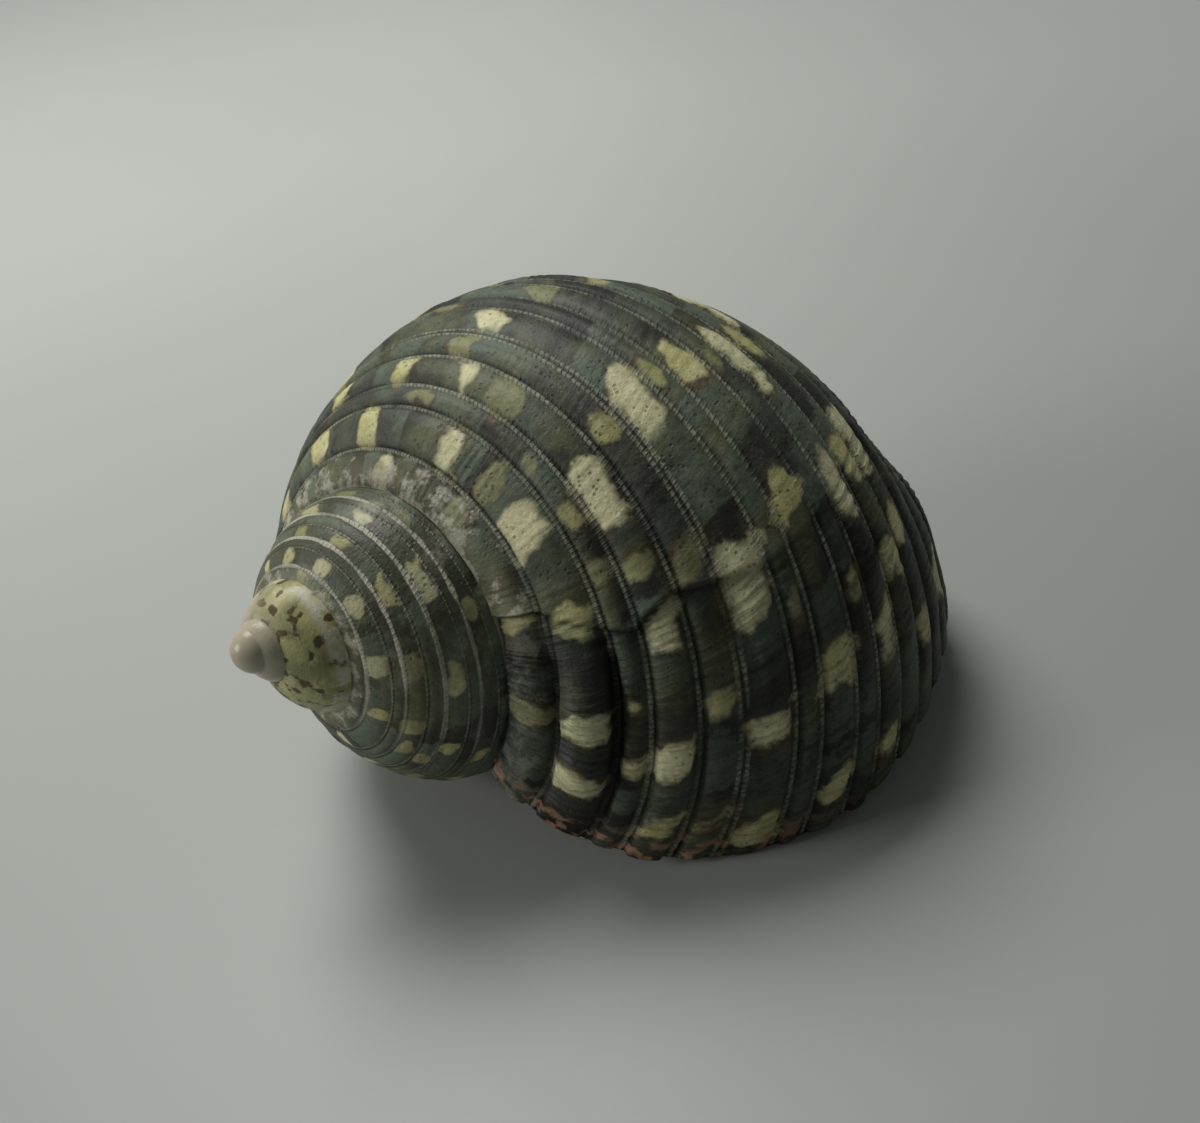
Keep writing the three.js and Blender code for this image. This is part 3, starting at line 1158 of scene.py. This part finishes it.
class Board:
    """A material's node tree, with one method that adds any node."""

    def __init__(self, name: str) -> None:
        """Makes an empty material.

        Args:
            name: name of the material.
        """
        self.material = bpy.data.materials.new(name)
        self.material.use_nodes = True
        self.tree = self.material.node_tree
        self.tree.nodes.clear()

    def add(self, kind: str, settings: dict[str, Any], inputs: dict[Any, Any]) -> Any:
        """Adds a node.

        Args:
            kind: the node's type.
            settings: properties that are set before the sockets.
            inputs: values or links, by socket name or number.

        Returns:
            The node.
        """
        node = self.tree.nodes.new(kind)
        for name, value in settings.items():
            setattr(node, name, value)
        for key, value in inputs.items():
            if isinstance(value, Signal):
                value = value.socket
            if isinstance(value, bpy.types.NodeSocket):
                self.tree.links.new(value, node.inputs[key])
            else:
                node.inputs[key].default_value = value
        return node

    def value(self, kind: str, settings: dict[str, Any], *values: Any) -> Signal:
        """Adds a node whose sockets are given in order and wraps its first output."""
        return Signal(self, self.add(kind, settings, dict(enumerate(values))).outputs[0])

    def painted(self, name: str) -> Signal:
        """A value that the mesh carries at each vertex."""
        node = self.add("ShaderNodeAttribute", {"attribute_name": name}, {})
        return Signal(self, node.outputs["Fac"])

    def vector(self, x: Any, y: Any, z: Any) -> Any:
        """A vector from three signals or numbers."""
        return self.add("ShaderNodeCombineXYZ", {}, {0: x, 1: y, 2: z}).outputs[0]


    def noise(self, where: Any, noise: Noise) -> Signal:
        """Noise from 0 to 1 at a place."""
        inputs = {"Vector": where, "Scale": noise.scale, "Detail": noise.detail, "Roughness": noise.rough}
        return Signal(self, self.add("ShaderNodeTexNoise", {}, inputs).outputs[0])

    def patches(self, where: Any, noise: Noise) -> Signal:
        """Patches of 1 on 0, where the noise passes its edge."""
        return self.noise(where, noise).step(*noise.edge)

    def uneven(self, colour: Any, noise: Signal, spread: tuple[float, float]) -> Any:
        """Colours of a brightness that starts at the spread's first value and grows with the noise."""
        return self.shade(colour, spread[0] + noise * spread[1])

    def cells(self, where: Any, scale: float) -> Signal:
        """Distance to the nearest of many scattered points."""
        inputs = {"Vector": where, "Scale": scale}
        return Signal(self, self.add("ShaderNodeTexVoronoi", {}, inputs).outputs[0])

    def blend(self, share: Any, first: Any, second: Any) -> Any:
        """Mixes two colours, from the first at 0 to the second at 1."""
        inputs = {"Factor": share, 6: self.paint(first), 7: self.paint(second)}
        return self.add("ShaderNodeMix", {"data_type": "RGBA"}, inputs).outputs[2]

    def shade(self, colour: Any, share: Any) -> Any:
        """Darkens or lightens a colour by a factor."""
        inputs = {0: colour if isinstance(colour, bpy.types.NodeSocket) else colour[:3],
                  1: self.vector(share, share, share)}
        return self.add("ShaderNodeVectorMath", {"operation": "MULTIPLY"}, inputs).outputs[0]

    @staticmethod
    def paint(colour: Any) -> Any:
        """A colour with its opacity, or the socket as it is."""
        return colour if isinstance(colour, bpy.types.NodeSocket) else (*colour, 1.0)



# ---------------------------------------------------------------- finishes


@dataclass(frozen=True)
class Noise:
    """Settings of one noise.

    Attributes:
        scale: how many cells there are in a metre.
        detail: how many finer layers it has.
        rough: how strong the finer layers are.
        edge: values between which its patches fade in.
    """

    scale: float
    detail: float = 2.0
    rough: float = 0.5
    edge: tuple[float, float] = (0.0, 1.0)


@dataclass(frozen=True)
class Surface:
    """What the outside's colours and its bumps share.

    Attributes:
        where: the place of the point.
        grain: fine noise.
        mottle: medium noise.
        cuts: short dark cuts across the ribs.
        folds: fine growth folds across the cords.
        specks: small pits.
        paint: the mesh's painted values by name.
    """

    where: Any
    grain: Signal
    mottle: Signal
    cuts: Signal
    folds: Signal
    specks: Signal
    paint: dict[str, Signal]


@dataclass(frozen=True)
class ShellFinish:
    """The outside's pattern with the nacre inside, in linear colour.

    A pair under a name that ends in step says where a share begins and where it is full. A spread is
    a least brightness and how much a noise adds to it. Shares say how far a colour covers the last.
    """

    slate: tuple[float, float, float] = (0.056, 0.061, 0.047)
    charcoal: tuple[float, float, float] = (0.030, 0.030, 0.024)
    teal: tuple[float, float, float] = (0.092, 0.114, 0.084)
    moss: tuple[float, float, float] = (0.120, 0.130, 0.066)
    cream: tuple[float, float, float] = (0.57, 0.548, 0.335)
    butter: tuple[float, float, float] = (0.45, 0.43, 0.19)
    olive: tuple[float, float, float] = (0.20, 0.20, 0.105)
    brown: tuple[float, float, float] = (0.085, 0.055, 0.022)
    rib: tuple[float, float, float] = (0.30, 0.32, 0.235)
    chalk: tuple[float, float, float] = (0.54, 0.52, 0.42)
    tip: tuple[float, float, float] = (0.40, 0.365, 0.27)
    salmon: tuple[float, float, float] = (0.42, 0.24, 0.15)
    pearl: tuple[float, float, float] = (0.66, 0.66, 0.60)
    pearl_green: tuple[float, float, float] = (0.50, 0.62, 0.54)
    pearl_rose: tuple[float, float, float] = (0.68, 0.54, 0.54)

    grain: Noise = Noise(2600.0, 3.0, 0.65)
    mottle: Noise = Noise(620.0, 4.0, 0.6)
    grain_spread: tuple[float, float] = (0.62, 0.76)
    cut_pitch: float = 0.66
    cut_bend: float = 6.0
    cut_step: tuple[float, float] = (0.60, 0.95)
    fold_stretch: tuple[float, float] = (1.5, 0.20)
    folds: Noise = Noise(1.0, 3.0, 0.6, (0.50, 0.40))
    fold_share: float = 0.30
    speck_scale: float = 1500.0
    speck_step: tuple[float, float] = (0.30, 0.14)
    speck_patches: Noise = Noise(330.0, edge=(0.38, 0.6))
    speck_share: float = 0.5
    speck_shade: float = 0.35

    teal_rag: float = 0.9
    teal_step: tuple[float, float] = (-0.25, 0.25)
    charcoal_rag: float = 1.1
    charcoal_step: tuple[float, float] = (0.16, 0.34)
    moss_patches: Noise = Noise(150.0, 3.0, edge=(0.46, 0.68))
    moss_share: float = 0.75
    ground_spread: tuple[float, float] = (0.55, 0.9)
    newer_shade: float = 0.35

    dab_rag: Noise = Noise(230.0, 3.0, 0.55)
    dab_rags: tuple[float, float] = (3.6, 2.2)
    dab_step: tuple[float, float] = (-0.45, 0.50)
    rim_step: tuple[float, float] = (1.0, 0.0)
    rim_share: float = 0.45
    stain_step: tuple[float, float] = (-1.25, -0.20)
    stain_patches: Noise = Noise(220.0, edge=(0.44, 0.62))
    stain_share: float = 0.75
    tone_noise: Noise = Noise(300.0)
    tone_range: float = 0.8
    butter_step: tuple[float, float] = (0.05, 0.5)
    olive_step: tuple[float, float] = (0.45, 1.0)
    dab_spread: tuple[float, float] = (0.70, 0.55)

    rib_rag: float = 0.9
    rib_step: tuple[float, float] = (0.25, 0.75)
    rib_cut: float = 0.65
    rib_patches: Noise = Noise(170.0, 3.0, edge=(0.32, 0.62))
    rib_grain_step: tuple[float, float] = (0.35, 0.65)
    rib_shade: float = 0.5
    rib_share: float = 0.85
    trench_shade_patches: Noise = Noise(280.0, 3.0, edge=(0.35, 0.62))
    trench_shade_spread: tuple[float, float] = (0.35, 0.55)

    spire_step: tuple[float, float] = (0.92, 1.15)
    spire_moss: float = 0.28
    worn_noise: Noise = Noise(330.0, 4.0, 0.6)
    worn_rag: float = 1.5
    worn_step: tuple[float, float] = (0.50, 0.85)
    worn_patches: Noise = Noise(260.0, 3.0, edge=(0.35, 0.62))
    worn_spread: tuple[float, float] = (0.45, 0.55)
    worn_share: float = 0.85
    worn_chalk: tuple[float, float] = (0.6, 0.6)
    bloom_patches: Noise = Noise(300.0, 5.0, 0.7, (0.50, 0.72))
    bloom_step: tuple[float, float] = (0.25, 0.42)
    bloom_spread: tuple[float, float] = (0.25, 0.4)
    bloom_chalk: tuple[float, float] = (0.55, 0.5)
    early_step: tuple[float, float] = (1.72, 1.95)
    early_share: float = 0.9
    early_spread: tuple[float, float] = (0.55, 0.7)
    early_olive: Noise = Noise(430.0, 4.0, edge=(0.40, 0.62))
    early_olive_share: float = 0.7
    early_cream: Noise = Noise(520.0, 3.0, edge=(0.54, 0.68))
    early_cream_share: float = 0.6
    spots: Noise = Noise(820.0, 2.0, 0.4, (0.54, 0.61))
    band_step: tuple[float, float] = (0.27, 0.33)
    band_patches: Noise = Noise(500.0, 3.0, 0.6, (0.40, 0.54))
    band_share: float = 0.8
    band_chalk: tuple[float, float] = (0.7, 0.6)
    tip_step: tuple[float, float] = (2.32, 2.5)
    tip_spread: tuple[float, float] = (0.8, 0.4)

    crust: Noise = Noise(420.0, 4.0, 0.7)
    crust_place: float = 0.03
    crust_rise: float = 2.0
    crust_step: tuple[float, float] = (0.46, 0.60)
    crust_reach: tuple[float, float] = (0.075, 0.040)
    crust_newer: float = 0.75
    crust_turns: tuple[float, float] = (1.5, 1.9)
    crust_share: float = 0.8
    crust_chalk: tuple[float, float] = (0.40, 0.75)
    border_rag: float = 0.06
    border_step: tuple[float, float] = (0.060, 0.025)
    border_share: float = 0.5
    border_spread: tuple[float, float] = (0.6, 0.6)
    scar_painted_shadow: float = 0.8
    crack_painted_shade: float = 0.85
    lip_stretch: tuple[float, float] = (0.55, 0.45)
    lip_patches: Noise = Noise(1.0, 3.0, edge=(0.47, 0.60))
    lip_step: tuple[float, float] = (0.026, 0.004)
    lip_places: tuple[float, float] = (0.45, 0.20)
    lip_share: float = 0.7

    inside_step: tuple[float, float] = (0.25, 0.85)
    specular: float = 0.26
    bump: tuple[float, float] = (0.55, 0.00022)
    bump_grain: float = 0.45
    bump_mottle: float = 0.9
    bump_cuts: float = 0.5
    bump_folds: tuple[float, float] = (0.4, 1.2)
    bump_specks: float = 0.4
    bump_scar: float = 0.4
    bump_worn: tuple[float, float] = (1.7, 2.3)
    bump_worn_share: float = 0.85
    rough_spread: tuple[float, float] = (0.42, 0.22)
    rough_trench: float = 0.15
    spire_gloss: float = 0.10
    spire_gloss_step: tuple[float, float] = (0.9, 1.15)
    tip_gloss: float = 0.15
    tip_gloss_step: tuple[float, float] = (2.3, 2.5)
    nacre_drift: Noise = Noise(90.0, 3.0)
    nacre_gloss: Noise = Noise(400.0)
    nacre_steps: tuple[float, float, float, float] = (0.35, 0.5, 0.52, 0.7)
    nacre_rough: tuple[float, float] = (0.18, 0.14)
    nacre_coat: float = 0.35

    def apply(self, piece: bpy.types.Object) -> None:
        """Builds the material and gives it to the piece.

        Args:
            piece: the shell's object.
        """
        board = Board("shell_surface")
        outer = self.outer(board)
        nacre = self.nacre(board)
        inside = board.painted("inside").step(*self.inside_step)
        mixed = board.add("ShaderNodeMixShader", {}, {0: inside, 1: outer, 2: nacre})
        board.add("ShaderNodeOutputMaterial", {}, {"Surface": mixed.outputs[0]})
        piece.data.materials.append(board.material)

    def read(self, board: Board) -> Surface:
        """Gathers the noises and painted values that several colours use.

        Args:
            board: the material that is being built.

        Returns:
            The shared signals.
        """
        names = ("along", "across", "turns", "place", "newer", "rib", "trench", "crack", "patch", "block",
                 "dab", "tone", "ridge", "scar")
        paint = {name: board.painted(name) for name in names}
        where = board.add("ShaderNodeTexCoord", {}, {}).outputs["Object"]
        mottle = board.noise(where, self.mottle)
        ticks = (paint["along"] * (2 * math.pi / self.cut_pitch) + mottle * self.cut_bend).sine() * 0.5 + 0.5
        stretched = self.stretched(board, paint, self.fold_stretch)
        pits = board.cells(where, self.speck_scale).step(*self.speck_step)
        pits = pits * board.patches(where, self.speck_patches)
        return Surface(where, board.noise(where, self.grain), mottle, ticks.step(*self.cut_step),
                       board.noise(stretched, self.folds), pits, paint)

    @staticmethod
    def stretched(board: Board, paint: dict[str, Signal], stretch: tuple[float, float]) -> Any:
        """A place on the unrolled outside, for noise that is drawn out across the cords."""
        return board.vector(paint["along"] * stretch[0], paint["across"] * stretch[1], 0.0)

    def outer(self, board: Board) -> Any:
        """The outside: dark ground, dabs, pale ribs, the older whorls, crust and the lip.

        Args:
            board: the material that is being built.

        Returns:
            The shader's output.
        """
        on = self.read(board)
        colour = self.dabbed(board, on, self.ground(board, on))
        colour = self.ribbed(board, on, colour)
        colour = self.older(board, on, colour)
        colour = self.crusted(board, on, colour)
        turns, trench = on.paint["turns"], on.paint["trench"]
        bump = board.add("ShaderNodeBump", {}, {
            "Strength": self.bump[0], "Distance": self.bump[1], "Height": self.bumps(on)})
        rough = self.rough_spread[0] + on.mottle * self.rough_spread[1] + trench * self.rough_trench
        rough = rough - turns.step(*self.spire_gloss_step) * self.spire_gloss
        rough = rough - turns.step(*self.tip_gloss_step) * self.tip_gloss
        shader = board.add("ShaderNodeBsdfPrincipled", {}, {
            "Base Color": colour, "Roughness": rough, "Normal": bump.outputs[0],
            "Specular IOR Level": self.specular})
        return shader.outputs[0]

    def bumps(self, on: Surface) -> Signal:
        """Heights of the fine bumps, which fade out on the oldest whorls.

        Args:
            on: the shared signals.

        Returns:
            The heights.
        """
        height = on.grain * self.bump_grain + on.mottle * self.bump_mottle
        height = height - on.cuts * (on.paint["rib"] + on.paint["trench"]) * self.bump_cuts
        height = height + on.folds * (self.bump_folds[0] + on.paint["newer"] * self.bump_folds[1])
        height = height - on.specks * self.bump_specks - on.paint["scar"] * self.bump_scar
        return height * (1.0 - on.paint["turns"].step(*self.bump_worn) * self.bump_worn_share)

    def ground(self, board: Board, on: Surface) -> Any:
        """The dark ground in blocks of slate, teal and charcoal with mossy clouds.

        Args:
            board: the material that is being built.
            on: the shared signals.

        Returns:
            The colour.
        """
        patch = on.paint["patch"] + (on.mottle - 0.5) * self.teal_rag
        block = on.paint["block"] + (on.mottle - 0.5) * self.charcoal_rag
        ground = board.blend(patch.step(*self.teal_step), self.slate, self.teal)
        ground = board.blend(block.step(*self.charcoal_step), ground, self.charcoal)
        moss = board.patches(on.where, self.moss_patches)
        ground = board.blend(moss * self.moss_share, ground, self.moss)
        ground = board.uneven(ground, on.mottle, self.ground_spread)
        return board.shade(ground, 1.0 - on.paint["newer"] * self.newer_shade)

    def dabbed(self, board: Board, on: Surface, ground: Any) -> Any:
        """Pale dabs with ragged edges and brown stains over the ground.

        Args:
            board: the material that is being built.
            on: the shared signals.
            ground: the colour of the ground.

        Returns:
            The colour.
        """
        ragged = (board.noise(on.where, self.dab_rag) - 0.5) * self.dab_rags[0]
        edge = on.paint["dab"] + ragged + (on.mottle - 0.5) * self.dab_rags[1]
        stain = edge.step(*self.stain_step) * board.patches(on.where, self.stain_patches)
        tone = on.paint["tone"] + (board.noise(on.where, self.tone_noise) - 0.5) * self.tone_range
        pale = board.blend(tone.step(*self.butter_step), self.cream, self.butter)
        pale = board.blend(tone.step(*self.olive_step), pale, self.olive)
        pale = board.blend(edge.step(*self.rim_step) * self.rim_share, pale, self.olive)
        pale = board.uneven(pale, on.mottle, self.dab_spread)
        colour = board.blend(stain * self.stain_share, ground, self.brown)
        return board.blend(edge.step(*self.dab_step), colour, pale)

    def ribbed(self, board: Board, on: Surface, colour: Any) -> Any:
        """Pale ribs beside trenches darkened with painted shade, then the pits, the grain and the folds.

        Args:
            board: the material that is being built.
            on: the shared signals.
            colour: the colour so far.

        Returns:
            The colour with them over it.
        """
        line = (on.paint["rib"] + (on.mottle - 0.5) * self.rib_rag).step(*self.rib_step)
        line = line * (1.0 - on.cuts * self.rib_cut) * board.patches(on.where, self.rib_patches)
        dull = board.shade(self.rib, self.rib_shade)
        rib = board.blend(on.grain.step(*self.rib_grain_step), dull, self.rib)
        # painted shade in the trenches beside the ribs, in patches, strongest where the trenches are deep
        trench_shade = self.trench_shade_spread[0] + board.patches(on.where, self.trench_shade_patches) * self.trench_shade_spread[1]
        colour = board.shade(colour, 1.0 - on.paint["trench"] * trench_shade)
        colour = board.blend(line * self.rib_share, colour, rib)
        colour = board.blend(on.specks * self.speck_share, colour, board.shade(self.slate, self.speck_shade))
        colour = board.uneven(colour, on.grain, self.grain_spread)
        folded = on.folds.step(*self.folds.edge) * self.fold_share * on.paint["newer"]
        return board.shade(colour, 1.0 - folded)

    def older(self, board: Board, on: Surface, colour: Any) -> Any:
        """Colours of the spire: greener, then yellow with brown spots, then the bare tip.

        Args:
            board: the material that is being built.
            on: the shared signals.
            colour: the colour so far.

        Returns:
            The colour with the spire's own colours over it.
        """
        where, turns, place = on.where, on.paint["turns"], on.paint["place"]
        spire = turns.step(*self.spire_step)
        colour = board.blend(spire * self.spire_moss, colour, self.moss)
        bloom = board.patches(where, self.bloom_patches) * spire
        bloom = bloom * (self.bloom_spread[0] + place.step(*self.bloom_step) * self.bloom_spread[1])
        colour = board.blend(bloom, colour, board.uneven(self.chalk, on.grain, self.bloom_chalk))
        worn = on.paint["ridge"] + (board.noise(where, self.worn_noise) - 0.5) * self.worn_rag
        worn = worn.step(*self.worn_step) * spire
        worn = worn * (self.worn_spread[0] + board.patches(where, self.worn_patches) * self.worn_spread[1])
        chalk = board.uneven(self.chalk, on.grain, self.worn_chalk)
        colour = board.blend(worn * self.worn_share, colour, chalk)
        yellow = turns.step(*self.early_step)
        colour = board.blend(yellow * self.early_share, colour, self.earliest(board, on))
        band = place.step(*self.band_step) * yellow * board.patches(where, self.band_patches)
        chalk = board.uneven(self.chalk, on.grain, self.band_chalk)
        colour = board.blend(band * self.band_share, colour, chalk)
        bare = board.uneven(self.tip, on.mottle, self.tip_spread)
        return board.blend(turns.step(*self.tip_step), colour, bare)

    def earliest(self, board: Board, on: Surface) -> Any:
        """The yellow whorl next to the tip, with olive and cream clouds and brown spots.

        Args:
            board: the material that is being built.
            on: the shared signals.

        Returns:
            The colour.
        """
        cloud = board.patches(on.where, self.early_olive) * self.early_olive_share
        colour = board.blend(cloud, self.butter, self.olive)
        cloud = board.patches(on.where, self.early_cream) * self.early_cream_share
        colour = board.uneven(board.blend(cloud, colour, self.cream), on.mottle, self.early_spread)
        return board.blend(board.patches(on.where, self.spots), colour, self.brown)

    def crusted(self, board: Board, on: Surface, colour: Any) -> Any:
        """Crust along the suture, a painted shadow along the break, painted shade in its clefts and chip,
        and the lip's salmon.

        Args:
            board: the material that is being built.
            on: the shared signals.
            colour: the colour so far.

        Returns:
            The colour with them over it.
        """
        turns, place, newer = on.paint["turns"], on.paint["place"], on.paint["newer"]
        whole = 1.0 - turns.step(*self.crust_turns)
        crust = board.noise(on.where, self.crust) + (self.crust_place - place) * self.crust_rise
        dust = place.step(*self.crust_reach) * crust.step(*self.crust_step)
        dust = dust * (1.0 - newer * self.crust_newer) * whole
        border = (place + (on.mottle - 0.5) * self.border_rag).step(*self.border_step)
        border = border * (1.0 - newer) * whole
        colour = board.blend(border * self.border_share, colour,
                             board.uneven(self.olive, on.mottle, self.border_spread))
        chalk = board.uneven(self.chalk, on.grain, self.crust_chalk)
        colour = board.blend(dust * self.crust_share, colour, chalk)
        # painted shadow of the step along the old break
        colour = board.shade(colour, 1.0 - on.paint["scar"] * self.scar_painted_shadow)
        # painted shade in the deep clefts beside the lumpy cord and in the chipped hole
        colour = board.shade(colour, 1.0 - on.paint["crack"] * self.crack_painted_shade)
        layers = board.patches(self.stretched(board, on.paint, self.lip_stretch), self.lip_patches)
        lip = turns.step(*self.lip_step) * layers * place.step(*self.lip_places)
        return board.blend(lip * self.lip_share, colour, self.salmon)

    def nacre(self, board: Board) -> Any:
        """The lining: pale and glossy, with a green and rose cast.

        Args:
            board: the material that is being built.

        Returns:
            The shader's output.
        """
        where = board.add("ShaderNodeTexCoord", {}, {}).outputs["Object"]
        drift = board.noise(where, self.nacre_drift)
        colour = board.blend(drift.step(*self.nacre_steps[:2]), self.pearl_green, self.pearl)
        colour = board.blend(drift.step(*self.nacre_steps[2:]), colour, self.pearl_rose)
        rough = self.nacre_rough[0] + board.noise(where, self.nacre_gloss) * self.nacre_rough[1]
        shader = board.add("ShaderNodeBsdfPrincipled", {}, {
            "Base Color": colour, "Roughness": rough, "Coat Weight": self.nacre_coat})
        return shader.outputs[0]


# ---------------------------------------------------------------- the studio


@dataclass(frozen=True)
class Studio:
    """A grey floor with painted light and shade, a soft light from behind, a low one from the left, a dim
    sky and the camera.

    Lights are placed in metres, and the camera's target and distance are in millimetres. The floor's
    painted light and shade are brightness at the near or left side, how much is added or lost, and where.
    """

    floor_size: float = 3.0
    floor_colour: tuple[float, float, float] = (0.40, 0.412, 0.392)
    floor_cloud: Noise = Noise(14.0, 3.0)
    floor_spread: tuple[float, float] = (0.96, 0.08)
    floor_painted_light_far: tuple[float, float] = (0.80, 0.48)
    floor_painted_light_far_step: tuple[float, float] = (-0.08, 0.20)
    floor_painted_shade_side: float = 0.16
    floor_painted_shade_side_step: tuple[float, float] = (-0.02, 0.12)
    floor_roughness: float = 0.42
    floor_specular: float = 0.3
    target: tuple[float, float, float] = (-1.07, -7.30, 22.48)
    distance: float = 115.0
    azimuth: float = 1.76
    elevation: float = 36.85
    roll: float = -10.1
    lens: float = 38.7
    nearest: float = 0.004
    key_place: tuple[float, float, float] = (-0.14, 0.30, 0.58)
    key_size: float = 0.34
    key_power: float = 3.6
    glow_place: tuple[float, float, float] = (-0.48, -0.04, 0.20)
    glow_size: float = 0.18
    glow_power: float = 1.0
    sky: float = 0.115
    sky_colour: tuple[float, float, float, float] = (0.94, 1.0, 0.98, 1.0)

    def floor(self) -> bpy.types.Object:
        """Makes the floor, level with the bottom of the shell.

        Returns:
            The floor object.
        """
        low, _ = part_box("shell")
        half = self.floor_size / 2
        corners = [(-half, -half), (half, -half), (half, half), (-half, half)]
        mesh = bpy.data.meshes.new("floor")
        mesh.from_pydata([(x, y, low[2]) for x, y in corners], [], [(0, 1, 2, 3)])
        mesh.materials.append(self.floor_paint())
        floor = bpy.data.objects.new("floor", mesh)
        bpy.context.scene.collection.objects.link(floor)
        return floor

    def floor_paint(self) -> bpy.types.Material:
        """Makes the floor's paint, with painted shade near the camera and at the right, and painted light
        far away.

        Returns:
            The material.
        """
        board = Board("floor_paint")
        where = board.add("ShaderNodeTexCoord", {}, {}).outputs["Object"]
        split = board.add("ShaderNodeSeparateXYZ", {}, {0: where}).outputs
        # painted light and shade: the floor brightens away from the camera and darkens towards the right
        far = Signal(board, split[1]).step(*self.floor_painted_light_far_step)
        side = Signal(board, split[0]).step(*self.floor_painted_shade_side_step)
        fade = (self.floor_painted_light_far[0] + far * self.floor_painted_light_far[1]) * (1.0 - side * self.floor_painted_shade_side)
        cloud = self.floor_spread[0] + board.noise(where, self.floor_cloud) * self.floor_spread[1]
        shader = board.add("ShaderNodeBsdfPrincipled", {}, {
            "Base Color": board.shade(self.floor_colour, fade * cloud), "Roughness": self.floor_roughness,
            "Specular IOR Level": self.floor_specular})
        board.add("ShaderNodeOutputMaterial", {}, {"Surface": shader.outputs[0]})
        return board.material

    @staticmethod
    def lamp(name: str, place: tuple[float, float, float], size: float, power: float) -> None:
        """Makes one soft square light aimed at the shell.

        Args:
            name: name of the light.
            place: where it hangs.
            size: length of its side.
            power: its power in watts.
        """
        light = bpy.data.lights.new(name, "AREA")
        light.energy = power
        light.size = size
        light.color = (1.0, 0.99, 0.96)
        lamp = bpy.data.objects.new(name, light)
        lamp.location = place
        lamp.rotation_euler = (-Vector(place)).to_track_quat("-Z", "Y").to_euler()
        bpy.context.scene.collection.objects.link(lamp)

    def lights(self) -> None:
        """Makes the key light from behind, the low light from the left and an even sky."""
        self.lamp("key", self.key_place, self.key_size, self.key_power)
        self.lamp("glow", self.glow_place, self.glow_size, self.glow_power)
        world = bpy.data.worlds.new("sky")
        world.use_nodes = True
        sky = world.node_tree.nodes["Background"]
        sky.inputs["Color"].default_value = self.sky_colour
        sky.inputs["Strength"].default_value = self.sky
        bpy.context.scene.world = world

    def camera(self) -> None:
        """Sets the camera on the shell, looking down at its upper side."""
        low, high = (Vector(corner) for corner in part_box("shell"))
        foot = Vector((0.5 * (low.x + high.x), 0.5 * (low.y + high.y), low.z))
        target = foot + Vector(self.target) * MM
        azimuth, elevation = math.radians(self.azimuth), math.radians(self.elevation)
        ahead = Vector((math.sin(azimuth) * math.cos(elevation), math.cos(azimuth) * math.cos(elevation),
                        -math.sin(elevation)))
        right = ahead.cross(Vector((0.0, 0.0, 1.0))).normalized()
        level = Matrix((right, right.cross(ahead), -ahead)).transposed().to_4x4()
        data = bpy.data.cameras.new("camera")
        data.lens = self.lens
        data.clip_start = self.nearest
        camera = bpy.data.objects.new("camera", data)
        turned = level @ Matrix.Rotation(math.radians(self.roll), 4, "Z")
        camera.matrix_world = Matrix.Translation(target - ahead * self.distance * MM) @ turned
        bpy.context.scene.collection.objects.link(camera)
        bpy.context.scene.camera = camera

    def build(self) -> None:
        """Sets up the floor, the lights, the camera and a plain rendering of brightness."""
        bpy.context.scene.view_settings.view_transform = "Standard"
        floor = self.floor()
        LOG.info("%s: staged", floor.name)
        self.lights()
        self.camera()


def main() -> None:
    """Builds the studio, the shell and its finish."""
    logging.basicConfig(level=logging.INFO, format="%(name)s: %(message)s")
    Studio().build()
    shell = TurbanShell().build()
    ShellFinish().apply(shell)
    LOG.info("%s: %d vertices, %d faces", shell.name, len(shell.data.vertices), len(shell.data.polygons))


if __name__ == "__main__":
    main()
